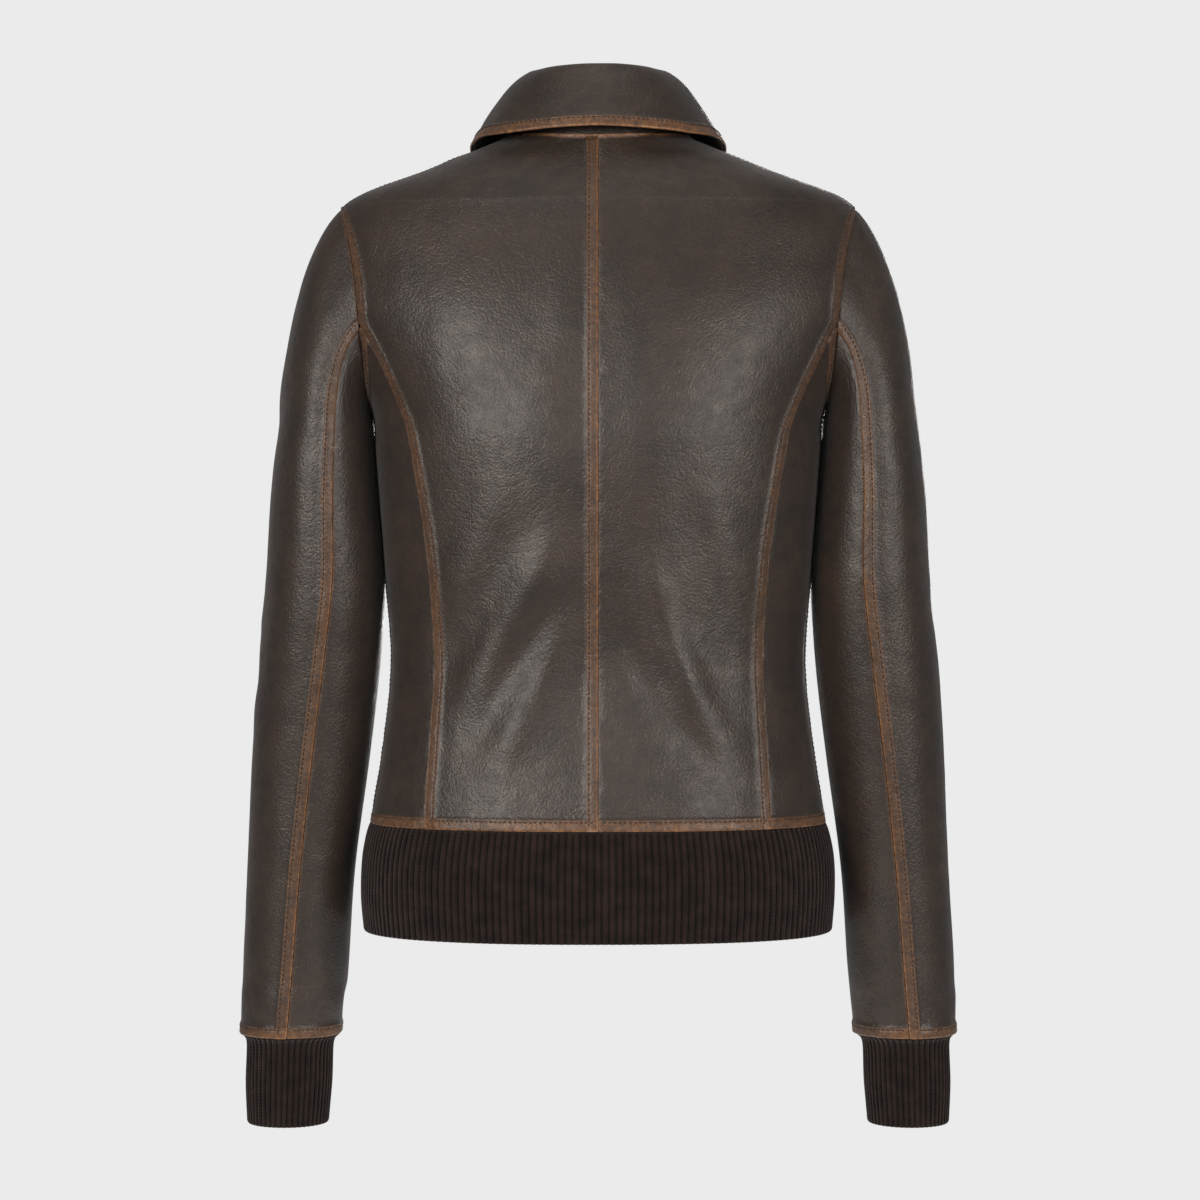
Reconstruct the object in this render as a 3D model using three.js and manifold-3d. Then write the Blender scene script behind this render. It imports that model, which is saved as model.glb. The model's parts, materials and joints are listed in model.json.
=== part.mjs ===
// Leather riding jacket: a short bomber cut with a shirt collar, princess seams, two-piece sleeves
// and a rib-knit waistband and cuffs, hung up empty with its front zip closed.
//
// Millimetres. +Z is up, +Y is the wearer's front and +X the wearer's right-hand side.
// The origin is the underside of the hanger loop, where a hook carries the jacket. The pattern
// itself is drawn about the body's own axis, with height 0 at the back neck seam.

import * as THREE from "three";
import { mergeVertices } from "three/addons/utils/BufferGeometryUtils.js";
import Module from "manifold-3d";

const wasm = await Module();
wasm.setup();

// ---------------------------------------------------------------- driving dimensions

// Materials
const LEATHER = 1.2;
const LINING = 0.5;
const RIB = 2.6;
const TAPE = 0.6;
const BAG = 1.2;
const FIT = 0.3; // gap left between two pieces that touch

// Body, heights measured from the back neck seam
const BACK_LENGTH = 485; // neck seam to hem seam
const WAIST_ABOVE_HEM = 116;
const CHEST_DROP = 224;
const ARMPIT_DROP = 190;
const CROSS_BACK_DROP = 131;
const UPPER_BACK_DROP = 90;
const SHOULDER_DROP = 45;
const SHOULDER_SLOPE_DROP = 17;
const NECK_RISE = 5; // the neck seam is this much higher at the shoulder than at the back
const FRONT_NECK_DROP = 80; // and this much lower at the front than at the shoulder

const HEM_HALF = 162.5;
const WAIST_HALF = 148;
const CHEST_HALF = 159;
const ARMPIT_HALF = 162;
const CROSS_BACK_HALF = 168; // to the armhole seam
const UPPER_BACK_HALF = 173;
const SHOULDER_HALF = 184;
const SHOULDER_SLOPE_HALF = 121;
const NECK_HALF = 68;
const ARM_BULGE = 19; // how far the body's form runs past the armhole seam, inside the sleeve

const HEM_BACK = 112; // depth of the back from the body's axis
const WAIST_BACK = 100;
const CHEST_BACK = 115;
const CROSS_BACK = 105;
const UPPER_BACK = 95;
const SHOULDER_BACK = 79;
const SHOULDER_SLOPE_BACK = 68;
const NECK_BACK = 60;
const FRONT_AT_NECK = 82; // depth of the centre front, which is one straight line
const FRONT_SLOPE = 0.045; // that line's gain in depth for each millimetre down

const PRINCESS_HEM = 120; // half width between the princess seams
const PRINCESS_WAIST = 114.5;
const PRINCESS_CHEST = 129.5;
const PRINCESS_ARMPIT = 139;

// Waistband and cuffs
const WAISTBAND_HEIGHT = 77;
const WAISTBAND_HALF = 165.5;
const TAB_WIDTH = 26;
const CUFF_LENGTH = 66;
const CUFF_HALF_WIDTH = 29.5;
const CUFF_HALF_DEPTH = 31;

// Sleeves
const SLEEVE_LENGTH = 595; // shoulder point to cuff seam
const SLEEVE_CLEARANCE = 1.5; // between the hanging sleeve and the body
const SLEEVE_OUTSIDE_TOP = 229.5;
const SLEEVE_OUTSIDE_WRIST = 259.5;
const BICEPS_HALF_DEPTH = 60;
const ELBOW_HALF_DEPTH = 49;
const WRIST_HALF_DEPTH = 39;
const WRIST_FORWARD = 24; // the wrist hangs this far forward of the armpit
const WRIST_CLEARANCE = 21; // between the wrist and the line of the waistband
const LIFT_JOINT_DROP = 15; // the sleeve starts to lift this far below the armpit

// Closing
const ZIP_HALF_GAP = 8; // leather edge to the middle of the zip
const FACING_WIDTH = 36;
const TOOTH_PITCH = 12;
const SLIDER_LENGTH = 14;
const PULL_LENGTH = 32;
const POCKET_LENGTH = 130;
const POCKET_TILT = 0.3;
const POCKET_OUT = 92;
const POCKET_ABOVE_HEM = 92;

// Hanger loop
const LOOP_HALF_SPAN = 30;
const LOOP_REACH = 11;
const LOOP_WIDTH = 7;
const LOOP_RISE = 9;

// ---------------------------------------------------------------- finishes

function finish(color, roughness, metalness = 0) {
  return new THREE.MeshStandardMaterial({ color, roughness, metalness });
}

const leather = finish(0x4a4039, 0.5);
const rubbedLeather = finish(0x5a4232, 0.5);
const ribKnit = finish(0x2a211d, 0.95);
const satin = finish(0x2b2522, 0.45);
const tape = finish(0x231c19, 0.9);
const brass = finish(0x6f5c3c, 0.4, 0.9);

// ---------------------------------------------------------------- curves

// A smooth line through evenly numbered values.
function through(values, t) {
  const last = values.length - 1;
  const i = Math.min(Math.max(Math.floor(t), 0), last - 1);
  const f = t - i;
  const b = values[i];
  const c = values[i + 1];
  const a = i > 0 ? values[i - 1] : 2 * b - c;
  const d = i + 2 <= last ? values[i + 2] : 2 * c - b;
  return b + 0.5 * f * (c - a + f * (2 * a - 5 * b + 4 * c - d + f * (3 * (b - c) + d - a)));
}

function mix(a, b, f) {
  return a + (b - a) * f;
}

function rounded(value, power) {
  return Math.sign(value) * Math.abs(value) ** power;
}

// ---------------------------------------------------------------- form of the body

const HEM_Z = -BACK_LENGTH;
const WAIST_Z = HEM_Z + WAIST_ABOVE_HEM;
const ARMPIT = 5; // levels that the armhole and the shoulder seam start from
const CROSS = 6;
const SIDE_PANEL_TOP = CROSS - 0.07; // the side panels end just short of a point
const SHOULDER = 8;
const NECK = 10;

const bodyLevels = {
  z: [
    HEM_Z, mix(HEM_Z, WAIST_Z, 0.47), WAIST_Z, mix(WAIST_Z, -CHEST_DROP, 0.47), -CHEST_DROP,
    -ARMPIT_DROP, -CROSS_BACK_DROP, -UPPER_BACK_DROP, -SHOULDER_DROP, -SHOULDER_SLOPE_DROP, NECK_RISE,
  ],
  half: [
    HEM_HALF, mix(HEM_HALF, WAIST_HALF, 0.6), WAIST_HALF, mix(WAIST_HALF, CHEST_HALF, 0.45), CHEST_HALF,
    ARMPIT_HALF, CROSS_BACK_HALF + ARM_BULGE, UPPER_BACK_HALF + ARM_BULGE, SHOULDER_HALF,
    SHOULDER_SLOPE_HALF, NECK_HALF,
  ],
  back: [
    HEM_BACK, mix(HEM_BACK, WAIST_BACK, 0.65), WAIST_BACK, mix(WAIST_BACK, CHEST_BACK, 0.55), CHEST_BACK,
    CHEST_BACK - 2, CROSS_BACK, UPPER_BACK, SHOULDER_BACK, SHOULDER_SLOPE_BACK, NECK_BACK,
  ],
  drop: [0, 0, 0, 0, 0, 0.12, 0.36, 0.52, 0.75, 0.91, 1].map((share) => -share * FRONT_NECK_DROP),
  dip: [0, 0, 0, 0, 0, 0, 0, 0, 0, -0.4, -1].map((share) => share * NECK_RISE),
  square: [2.4, 2.4, 2.4, 2.4, 2.4, 2.4, 2.4, 2.35, 2.3, 2.2, 2.1],
};

const waistbandLevels = {
  z: [HEM_Z, HEM_Z - WAISTBAND_HEIGHT * 0.33, HEM_Z - WAISTBAND_HEIGHT * 0.67, HEM_Z - WAISTBAND_HEIGHT],
  half: [HEM_HALF, WAISTBAND_HALF + 1.5, WAISTBAND_HALF + 2, WAISTBAND_HALF],
  back: [HEM_BACK, HEM_BACK + 3.5, HEM_BACK + 4, HEM_BACK + 2],
  drop: [0, 0, 0, 0],
  dip: [0, 0, 0, 0],
  square: [2.4, 2.4, 2.4, 2.4],
};

function centreFront(z) {
  return FRONT_AT_NECK - FRONT_SLOPE * (z + FRONT_NECK_DROP);
}

// A point of the body: angle 0 is the right side, -90 degrees the back and 90 the front.
function formPoint(levels, angle, v) {
  const at = (name) => through(levels[name], v);
  const sine = Math.sin(angle);
  const front = Math.max(0, sine) ** 1.6;
  const back = Math.max(0, -sine) ** 2;
  const lowest = at("z") + at("drop");
  const depth = sine > 0 ? centreFront(lowest) : at("back");
  const power = 2 / at("square");
  const z = at("z") + at("drop") * front + at("dip") * back;
  return new THREE.Vector3(at("half") * rounded(Math.cos(angle), power), depth * rounded(sine, power), z);
}

const bodyPoint = (angle, v) => formPoint(bodyLevels, angle, v);
const waistbandPoint = (angle, v) => formPoint(waistbandLevels, angle, v);

// The angle from the side at which the form is x away from the middle.
function angleAt(levels, x, v) {
  const share = Math.min(1, x / through(levels.half, v));
  return Math.acos(share ** (through(levels.square, v) / 2));
}

function armholeAngle(v) {
  const seam = [ARMPIT_HALF, CROSS_BACK_HALF, UPPER_BACK_HALF, SHOULDER_HALF];
  return v <= ARMPIT || v >= SHOULDER ? 0 : angleAt(bodyLevels, through(seam, v - ARMPIT), v);
}

function princessAngle(v) {
  const seam = [
    PRINCESS_HEM, mix(PRINCESS_HEM, PRINCESS_WAIST, 0.55), PRINCESS_WAIST,
    mix(PRINCESS_WAIST, PRINCESS_CHEST, 0.27), PRINCESS_CHEST, PRINCESS_ARMPIT, CROSS_BACK_HALF,
  ];
  return angleAt(bodyLevels, through(seam, v), v);
}

function centrePanelSide(v) {
  return v < CROSS ? princessAngle(v) : armholeAngle(v);
}

// ---------------------------------------------------------------- closed sheets from a surface

// Even steps along one line of a surface, as surface parameters.
function evenly(surface, v, from, to, steps) {
  const samples = 240;
  const points = [];
  for (let i = 0; i <= samples; i++) {
    points.push(surface(mix(from, to, i / samples), v));
  }
  const lengths = [0];
  for (let i = 1; i <= samples; i++) {
    lengths.push(lengths[i - 1] + points[i].distanceTo(points[i - 1]));
  }
  const result = [];
  for (let k = 0; k <= steps; k++) {
    const wanted = (lengths[samples] * k) / steps;
    let i = 1;
    while (i < samples && lengths[i] < wanted) i++;
    const part = (wanted - lengths[i - 1]) / (lengths[i] - lengths[i - 1]);
    result.push(mix(from, to, (i - 1 + part) / samples));
  }
  return result;
}

// The outward normal of a surface whose parameters turn right-handed around it.
function outward(surface, u, v) {
  const step = 1e-3;
  const du = surface(u + step, v).sub(surface(u - step, v));
  const dv = surface(u, v + step).sub(surface(u, v - step));
  return du.cross(dv).normalize();
}

// Draws the rim of a grid in by a distance, so that two sheets sewn edge to edge leave a gap.
function trimRim(grid, distance, closed) {
  const pull = (line) => {
    const first = line[1].clone().sub(line[0]).setLength(distance);
    const last = line[line.length - 2].clone().sub(line[line.length - 1]).setLength(distance);
    line[0].add(first);
    line[line.length - 1].add(last);
  };
  if (!closed) {
    grid.forEach(pull);
  }
  grid[0].forEach((_, i) => pull(grid.map((row) => row[i])));
}

function solidFrom(outer, inner, closed) {
  const rows = outer.length;
  const columns = outer[0].length;
  const position = [...outer.flat(), ...inner.flat()].flatMap((p) => p.toArray());
  const index = [];
  const outside = (r, c) => r * columns + (c % columns);
  const inside = (r, c) => rows * columns + outside(r, c);
  const quad = (a, b, c, d) => index.push(a, b, c, a, c, d);
  const spans = closed ? columns : columns - 1;
  for (let r = 0; r < rows - 1; r++) {
    for (let c = 0; c < spans; c++) {
      quad(outside(r, c), outside(r, c + 1), outside(r + 1, c + 1), outside(r + 1, c));
      quad(inside(r, c), inside(r + 1, c), inside(r + 1, c + 1), inside(r, c + 1));
    }
  }
  for (let c = 0; c < spans; c++) {
    quad(inside(0, c), inside(0, c + 1), outside(0, c + 1), outside(0, c));
    quad(outside(rows - 1, c), outside(rows - 1, c + 1), inside(rows - 1, c + 1), inside(rows - 1, c));
  }
  for (let r = 0; r < rows - 1 && !closed; r++) {
    quad(outside(r, 0), outside(r + 1, 0), inside(r + 1, 0), inside(r, 0));
    quad(inside(r, spans), inside(r + 1, spans), outside(r + 1, spans), outside(r, spans));
  }
  const geometry = new THREE.BufferGeometry();
  geometry.setAttribute("position", new THREE.Float32BufferAttribute(position, 3));
  geometry.setIndex(index);
  return geometry;
}

// A sheet of cloth or leather on a surface. Its two faces lie at two depths under the surface.
function sheet(surface, rows, { from = 0, to = LEATHER, closed = false, under = false } = {}) {
  const side = under ? 1 : -1;
  const layer = (depth) => rows.map(({ v, us }) => us.map((u) => {
    return surface(u, v).addScaledVector(outward(surface, u, v), side * depth);
  }));
  const outer = layer(from);
  const inner = layer(to);
  trimRim(outer, FIT / 2, closed);
  trimRim(inner, FIT / 2, closed);
  const geometry = solidFrom(outer, inner, closed);
  return under ? turnedOut(geometry) : geometry;
}

// The geometry with its shared corners merged and nothing but positions kept.
function merged(geometry) {
  const plain = geometry.clone();
  plain.deleteAttribute("normal");
  plain.deleteAttribute("uv");
  return mergeVertices(plain, 1e-3);
}

function turnedOut(geometry) {
  const index = geometry.index.array;
  for (let i = 0; i < index.length; i += 3) {
    [index[i], index[i + 1]] = [index[i + 1], index[i]];
  }
  return geometry;
}

function mirrored(geometry) {
  return turnedOut(merged(geometry).scale(-1, 1, 1));
}

// ---------------------------------------------------------------- the assembly

const jacket = new THREE.Group();
const pattern = new THREE.Group(); // everything drawn about the body's axis
jacket.add(pattern);

function add(name, geometry, material, parent = pattern) {
  const mesh = new THREE.Mesh(geometry, material);
  mesh.name = name;
  parent.add(mesh);
  return mesh;
}

function addPair(name, geometry, material) {
  add(`${name}_right`, geometry, material);
  add(`${name}_left`, mirrored(geometry), material);
}

// ---------------------------------------------------------------- body panels

const panelRows = [0, 0.7, 1.4, 2, 2.7, 3.4, 4, 4.5, 5, 5.33, 5.66, 5.93, 6.5, 7, 7.5, 8, 8.5, 9, 9.5, 10];
const BACK_MIDDLE = -Math.PI / 2;

// A panel runs over one or more sectors of the form, each with its own even columns.
function panel(sectors, firstLevel, lastLevel, layer = {}) {
  const levels = panelRows.filter((v) => v >= firstLevel && v <= lastLevel);
  const rows = levels.map((v) => {
    const us = sectors.flatMap(([from, to, steps]) => evenly(bodyPoint, v, from(v), to(v), steps).slice(0, -1));
    return { v, us: [...us, sectors.at(-1)[1](v)] };
  });
  return sheet(bodyPoint, rows, layer);
}

const zipEdge = (v) => angleAt(bodyLevels, ZIP_HALF_GAP, v);
const facingEdge = (v) => angleAt(bodyLevels, ZIP_HALF_GAP + FACING_WIDTH, v);
const backMiddle = () => BACK_MIDDLE;

addPair("back_panel", panel([[backMiddle, (v) => -centrePanelSide(v), 8]], 0, NECK), leather);
addPair("side_back_panel", panel([[(v) => -princessAngle(v), (v) => -armholeAngle(v), 3]], 0, SIDE_PANEL_TOP), leather);
addPair("side_front_panel", panel([[armholeAngle, princessAngle, 3]], 0, SIDE_PANEL_TOP), leather);
addPair("front_panel", panel([[centrePanelSide, facingEdge, 7], [facingEdge, zipEdge, 2]], 0, NECK), leather);

// ---------------------------------------------------------------- facings and body lining

const UNDER_TAPE = LEATHER + 2 * FIT + TAPE + FIT;
const facingLayer = { from: UNDER_TAPE, to: UNDER_TAPE + LEATHER };
const LINING_DEPTH = UNDER_TAPE + FIT;
const liningLayer = { from: LINING_DEPTH, to: LINING_DEPTH + LINING };
const NECK_FACING_LEVEL = 9;

addPair("front_facing", panel([[facingEdge, zipEdge, 2]], 0, NECK, facingLayer), leather);
addPair("front_lining", panel([[armholeAngle, facingEdge, 7]], 0, NECK, liningLayer), satin);
addPair("back_lining", panel([[backMiddle, (v) => -armholeAngle(v), 8]], 0, NECK_FACING_LEVEL, liningLayer), satin);
const roundNeck = [[() => -Math.PI, backMiddle, 8], [backMiddle, () => 0, 8]];
add("back_neck_facing", panel(roundNeck, NECK_FACING_LEVEL, NECK, facingLayer), leather);

// ---------------------------------------------------------------- waistband

function bandRows(from, to, steps) {
  return [0, 1, 2, 3].map((v) => ({ v, us: evenly(waistbandPoint, v, from(v), to(v), steps) }));
}

const tabEdge = (v) => angleAt(waistbandLevels, ZIP_HALF_GAP + TAB_WIDTH, v);
const bandZipEdge = (v) => angleAt(waistbandLevels, ZIP_HALF_GAP, v);

// The rib starts and ends at the leather tabs beside the zip.
const ribRows = bandRows((v) => -Math.PI - tabEdge(v), tabEdge, 36);
add("waistband_rib", sheet(waistbandPoint, ribRows, { to: RIB }), ribKnit);
addPair("waistband_tab", sheet(waistbandPoint, bandRows(tabEdge, bandZipEdge, 1), { to: RIB }), leather);

// ---------------------------------------------------------------- sleeves

// The sleeve hangs outside the body: its inner line keeps a clearance to the side, and swings
// away from it towards the wrist.
const sleeveTop = -ARMPIT_DROP - 6;
const WRIST_Z = -SHOULDER_DROP - SLEEVE_LENGTH;
const sleeveShares = [0, 0.12, 0.26, 0.39, 0.55, 0.73, 0.89, 1];
const outsideShares = [0, 0.18, 0.3, 0.5, 0.66, 0.79, 0.93, 1];
const swingShares = [0, 0, 0, 0.36, 0.43, 0.46, 0.73, 1];

function bodyHalfAt(z) {
  let v = 0;
  while (v < ARMPIT && through(bodyLevels.z, v) < z) v += 0.05;
  return z < HEM_Z ? WAISTBAND_HALF : through(bodyLevels.half, v);
}

const sleeveLevels = {
  z: sleeveShares.map((share) => mix(sleeveTop, WRIST_Z, share)),
  outside: outsideShares.map((share) => mix(SLEEVE_OUTSIDE_TOP, SLEEVE_OUTSIDE_WRIST, share)),
  depth: [
    BICEPS_HALF_DEPTH, mix(BICEPS_HALF_DEPTH, ELBOW_HALF_DEPTH, 0.25), mix(BICEPS_HALF_DEPTH, ELBOW_HALF_DEPTH, 0.6),
    ELBOW_HALF_DEPTH, mix(ELBOW_HALF_DEPTH, WRIST_HALF_DEPTH, 0.45), mix(ELBOW_HALF_DEPTH, WRIST_HALF_DEPTH, 0.72),
    mix(ELBOW_HALF_DEPTH, WRIST_HALF_DEPTH, 0.9), WRIST_HALF_DEPTH,
  ],
  forward: [-0.08, -0.12, -0.12, 0, 0.22, 0.52, 0.8, 1].map((share) => share * WRIST_FORWARD),
};
sleeveLevels.inside = sleeveLevels.z.map((z, i) => {
  return bodyHalfAt(z) + mix(SLEEVE_CLEARANCE, WRIST_CLEARANCE, swingShares[i]);
});

// A ring of the sleeve: angle 0 is its outer line, 90 degrees its back and 180 its inner line.
function sleeveRing(angle, t) {
  const at = (name) => through(sleeveLevels[name], t);
  const middle = (at("outside") + at("inside")) / 2;
  const width = (at("outside") - at("inside")) / 2;
  const power = 2 / 2.15;
  const x = middle + width * rounded(Math.cos(angle), power);
  return new THREE.Vector3(x, at("forward") - at("depth") * rounded(Math.sin(angle), power), at("z"));
}

// The armhole seam, with the same angles: 0 at the shoulder point and 180 at the armpit.
function armholePoint(angle) {
  const v = SHOULDER - ((SHOULDER - ARMPIT) * (1 - Math.cos(angle))) / 2;
  return bodyPoint(-Math.sign(Math.sin(angle)) * armholeAngle(v), v);
}

// The sleeve head runs from the armhole (t 0) to the first ring (t 1), the tube from there on.
const CAP_START = new THREE.Vector3(0.72, 0, -0.69);
const CAP_FULLNESS = 0.8;
const SEAM_EASE = 0.6; // the head stands off the armhole seam by this much

function sleevePoint(angle, t) {
  if (t >= 1) {
    return sleeveRing(angle, t - 1);
  }
  const start = armholePoint(angle).addScaledVector(CAP_START, SEAM_EASE);
  const end = sleeveRing(angle, 0);
  const span = start.distanceTo(end);
  const leave = CAP_START.clone().multiplyScalar(span * CAP_FULLNESS);
  const arrive = sleeveRing(angle, 0.05).sub(end).setLength(span);
  const h = t * t * (3 - 2 * t);
  return start.multiplyScalar(1 - h).addScaledVector(end, h)
    .addScaledVector(leave, t * (1 - t) * (1 - t)).addScaledVector(arrive, -t * t * (1 - t));
}

// The back seam leaves the armhole low down and reaches the middle of the back at the wrist;
// the front seam stays on the inner side.
const degrees = Math.PI / 180;
const backSeam = (t) => through([114, 108, 104, 101, 98, 95, 93, 91, 90], t) * degrees;
const frontSeam = (t) => through([236, 240, 244, 247, 250, 252, 253, 254, 255], t) * degrees;

const LIFT_LEVEL = 1 + (LIFT_JOINT_DROP - 6) / ((-sleeveTop + WRIST_Z) * -sleeveShares[1]);
const headRows = [0, 0.12, 0.28, 0.46, 0.64, 0.82, 1, LIFT_LEVEL];
const tubeRows = [LIFT_LEVEL, 1.6, 2.3, 3, 3.6, 4.2, 5, 5.8, 6.6, 7.3, 8];

function sleevePart(rows, from, to, steps, layer) {
  return sheet(sleevePoint, rows.map((t) => ({ v: t, us: evenly(sleevePoint, t, from(t), to(t), steps) })), layer);
}

const sleeveLining = { from: LEATHER + FIT, to: LEATHER + FIT + LINING };
const outerFrom = (t) => frontSeam(t) - 2 * Math.PI;
const sleeveSides = [
  ["sleeve_outer", outerFrom, backSeam, 9],
  ["sleeve_under", backSeam, frontSeam, 6],
];
for (const [name, from, to, steps] of sleeveSides) {
  addPair(`${name}_head`, sleevePart(headRows, from, to, steps), leather);
  addPair(`${name}_panel`, sleevePart(tubeRows, from, to, steps), leather);
}

function sleeveLiningPart(rows) {
  const columns = (t) => [
    ...evenly(sleevePoint, t, outerFrom(t), backSeam(t), 9).slice(0, -1),
    ...evenly(sleevePoint, t, backSeam(t), frontSeam(t), 6).slice(0, -1),
  ];
  return sheet(sleevePoint, rows.map((t) => ({ v: t, us: columns(t) })), { ...sleeveLining, closed: true });
}

addPair("sleeve_head_lining", sleeveLiningPart(headRows.slice(1)), satin);
const LINING_END = 7.97; // the lining stops just inside the sleeve's edge
addPair("sleeve_lining", sleeveLiningPart([...tubeRows.slice(0, -1), LINING_END]), satin);

// ---------------------------------------------------------------- cuffs

const CUFF_SEAM = 0.7; // from the sleeve's edge to the top of the rib
const CUFF_NECK = 4; // the rib draws in this much just under the sleeve's edge
const wristHalfWidth = (sleeveLevels.outside.at(-1) - sleeveLevels.inside.at(-1)) / 2;
const wristMiddle = (sleeveLevels.outside.at(-1) + sleeveLevels.inside.at(-1)) / 2;
const cuffLevels = {
  z: [CUFF_SEAM, 8, CUFF_LENGTH * 0.55, CUFF_LENGTH].map((below) => WRIST_Z - below),
  width: [wristHalfWidth - LEATHER / 2, wristHalfWidth - CUFF_NECK - 1, CUFF_HALF_WIDTH + 2, CUFF_HALF_WIDTH],
  depth: [WRIST_HALF_DEPTH - LEATHER / 2, WRIST_HALF_DEPTH - CUFF_NECK - 1, CUFF_HALF_DEPTH + 2, CUFF_HALF_DEPTH],
};

function cuffPoint(angle, t) {
  const at = (name) => through(cuffLevels[name], t);
  const x = wristMiddle + t + at("width") * Math.cos(angle);
  return new THREE.Vector3(x, WRIST_FORWARD + t - at("depth") * Math.sin(angle), at("z"));
}

const cuffColumns = Array.from({ length: 20 }, (_, i) => (i / 20) * 2 * Math.PI);
const cuffRows = [0, 1, 2, 3].map((v) => ({ v, us: cuffColumns }));
addPair("cuff_rib", sheet(cuffPoint, cuffRows, { to: RIB, closed: true }), ribKnit);

// ---------------------------------------------------------------- collar

// Each station lies a quarter of the way round from the back middle to the front end.
const STAND = 2.4;
const STAND_HEIGHT = 45;
const foldStations = [
  [0, -NECK_BACK + 4, STAND_HEIGHT], [39, -41, STAND_HEIGHT + 2.5], [NECK_HALF - 15, -2, STAND_HEIGHT + 5],
  [46, 46, 14], [ZIP_HALF_GAP + 1, 75, -48],
];
const FALL_HALF = 89;
const edgeStations = [
  [0, -NECK_BACK - 17, 3.6], [62, -60, 1], [FALL_HALF, -6, 0], [84, 48, -22], [52, 94, -112],
];

function station(stations, t) {
  const ends = stations.slice(1).reverse().map(([x, y, z]) => [-x, y, z]);
  const all = [...ends, ...stations];
  return new THREE.Vector3(...[0, 1, 2].map((k) => through(all.map((p) => p[k]), 4 + 4 * t)));
}

function neckSeam(t) {
  const point = bodyPoint(mix(BACK_MIDDLE, zipEdge(NECK), Math.abs(t)), NECK);
  return t < 0 ? point.setX(-point.x) : point;
}

function standPoint(t, w) {
  return neckSeam(t).lerp(station(foldStations, t), w);
}

function fallPoint(t, w) {
  const fold = station(foldStations, t);
  const edge = station(edgeStations, t);
  const roll = fold.clone().lerp(edge, 0.42).setZ(mix(fold.z, edge.z, 0.14));
  return fold.multiplyScalar((1 - w) ** 2).addScaledVector(roll, 2 * w * (1 - w)).addScaledVector(edge, w * w);
}

function collarPart(surface, ws, layer) {
  const ts = Array.from({ length: 21 }, (_, i) => -1 + i / 10);
  return sheet(surface, ws.map((v) => ({ v, us: ts })), layer);
}

const fallRows = [0, 0.2, 0.4, 0.6, 0.8, 1];
const UNDER = 1;
add("collar_stand", collarPart(standPoint, [0, 0.5, 1], { to: STAND }), leather);
add("under_collar", collarPart(fallPoint, fallRows, { to: UNDER }), leather);
add("collar_fall", collarPart(fallPoint, fallRows, { from: UNDER + FIT, to: UNDER + FIT + LEATHER }), leather);

// ---------------------------------------------------------------- hanger loop

const LOOP_LEVEL = 9.55;
const LOOP_THICKNESS = 1.4;
const loopAngle = -angleAt(bodyLevels, LOOP_HALF_SPAN, LOOP_LEVEL);
const loopDepth = facingLayer.to + FIT;
const loopEnd = bodyPoint(loopAngle, LOOP_LEVEL)
  .addScaledVector(outward(bodyPoint, loopAngle, LOOP_LEVEL), -loopDepth);

function loopPoint(s, w) {
  const rise = 1 - s * s;
  const y = loopEnd.y + LOOP_THICKNESS + 2 * FIT + LOOP_REACH * rise;
  return new THREE.Vector3(loopEnd.x * s, y, loopEnd.z + LOOP_RISE * rise + (w - 0.5) * LOOP_WIDTH);
}

const loopColumns = [-1, -0.75, -0.5, -0.25, 0, 0.25, 0.5, 0.75, 1];
const loopRows = [0, 1].map((v) => ({ v, us: loopColumns }));
add("hanger_loop", sheet(loopPoint, loopRows, { to: LOOP_THICKNESS }), leather);
const hookPoint = loopPoint(0, 0).add(new THREE.Vector3(0, LOOP_THICKNESS / 2, 0));

// ---------------------------------------------------------------- zips

function solid(geometry) {
  const { index, attributes } = merged(geometry);
  const triVerts = Uint32Array.from(index.array);
  return new wasm.Manifold(new wasm.Mesh({ numProp: 3, vertProperties: attributes.position.array, triVerts }));
}

function joined(...geometries) {
  const mesh = geometries.map(solid).reduce((a, b) => a.add(b)).getMesh();
  const geometry = new THREE.BufferGeometry();
  geometry.setAttribute("position", new THREE.Float32BufferAttribute(mesh.vertProperties, 3));
  geometry.setIndex(new THREE.Uint32BufferAttribute(mesh.triVerts, 1));
  return geometry;
}

function box(low, high) {
  const size = high.map((h, k) => h - low[k]);
  return new THREE.BoxGeometry(...size).translate(...low.map((l, k) => l + size[k] / 2));
}

function outline(points) {
  return new THREE.Shape(points.map(([x, y]) => new THREE.Vector2(x, y)));
}

// A profile in X and Y drawn out along Z.
function drawn(points, bottom, top) {
  return new THREE.ExtrudeGeometry(outline(points), { depth: top - bottom, bevelEnabled: false }).translate(0, 0, bottom);
}

const BAR_RADIUS = 0.9;
const BAR_RISE = 2.6; // of the pull's bar above the slider's roof
const CHEEK = 1.1;
const EYE_HALF = 1.5;
const PULL_THICKNESS = 1.6;

// A slider straddles the chain; two cheeks on its roof carry the bar that the pull turns on.
function sliderGeometry({ inner, wall, foot, ceiling, roof, length }) {
  const outer = inner + wall;
  const channel = drawn([
    [-outer, foot], [-inner, foot], [-inner, ceiling], [inner, ceiling],
    [inner, foot], [outer, foot], [outer, roof], [-outer, roof],
  ], -length / 2, length / 2);
  const bar = new THREE.CylinderGeometry(BAR_RADIUS, BAR_RADIUS, 2 * EYE_HALF + 2 * FIT + CHEEK, 10)
    .rotateZ(Math.PI / 2).translate(0, roof + BAR_RISE, 0);
  const cheekStart = EYE_HALF + FIT;
  const cheek = box([cheekStart, roof - 0.4, -2], [cheekStart + CHEEK, roof + BAR_RISE + 1.8, 2]);
  return joined(channel, bar, cheek, mirrored(cheek));
}

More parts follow.
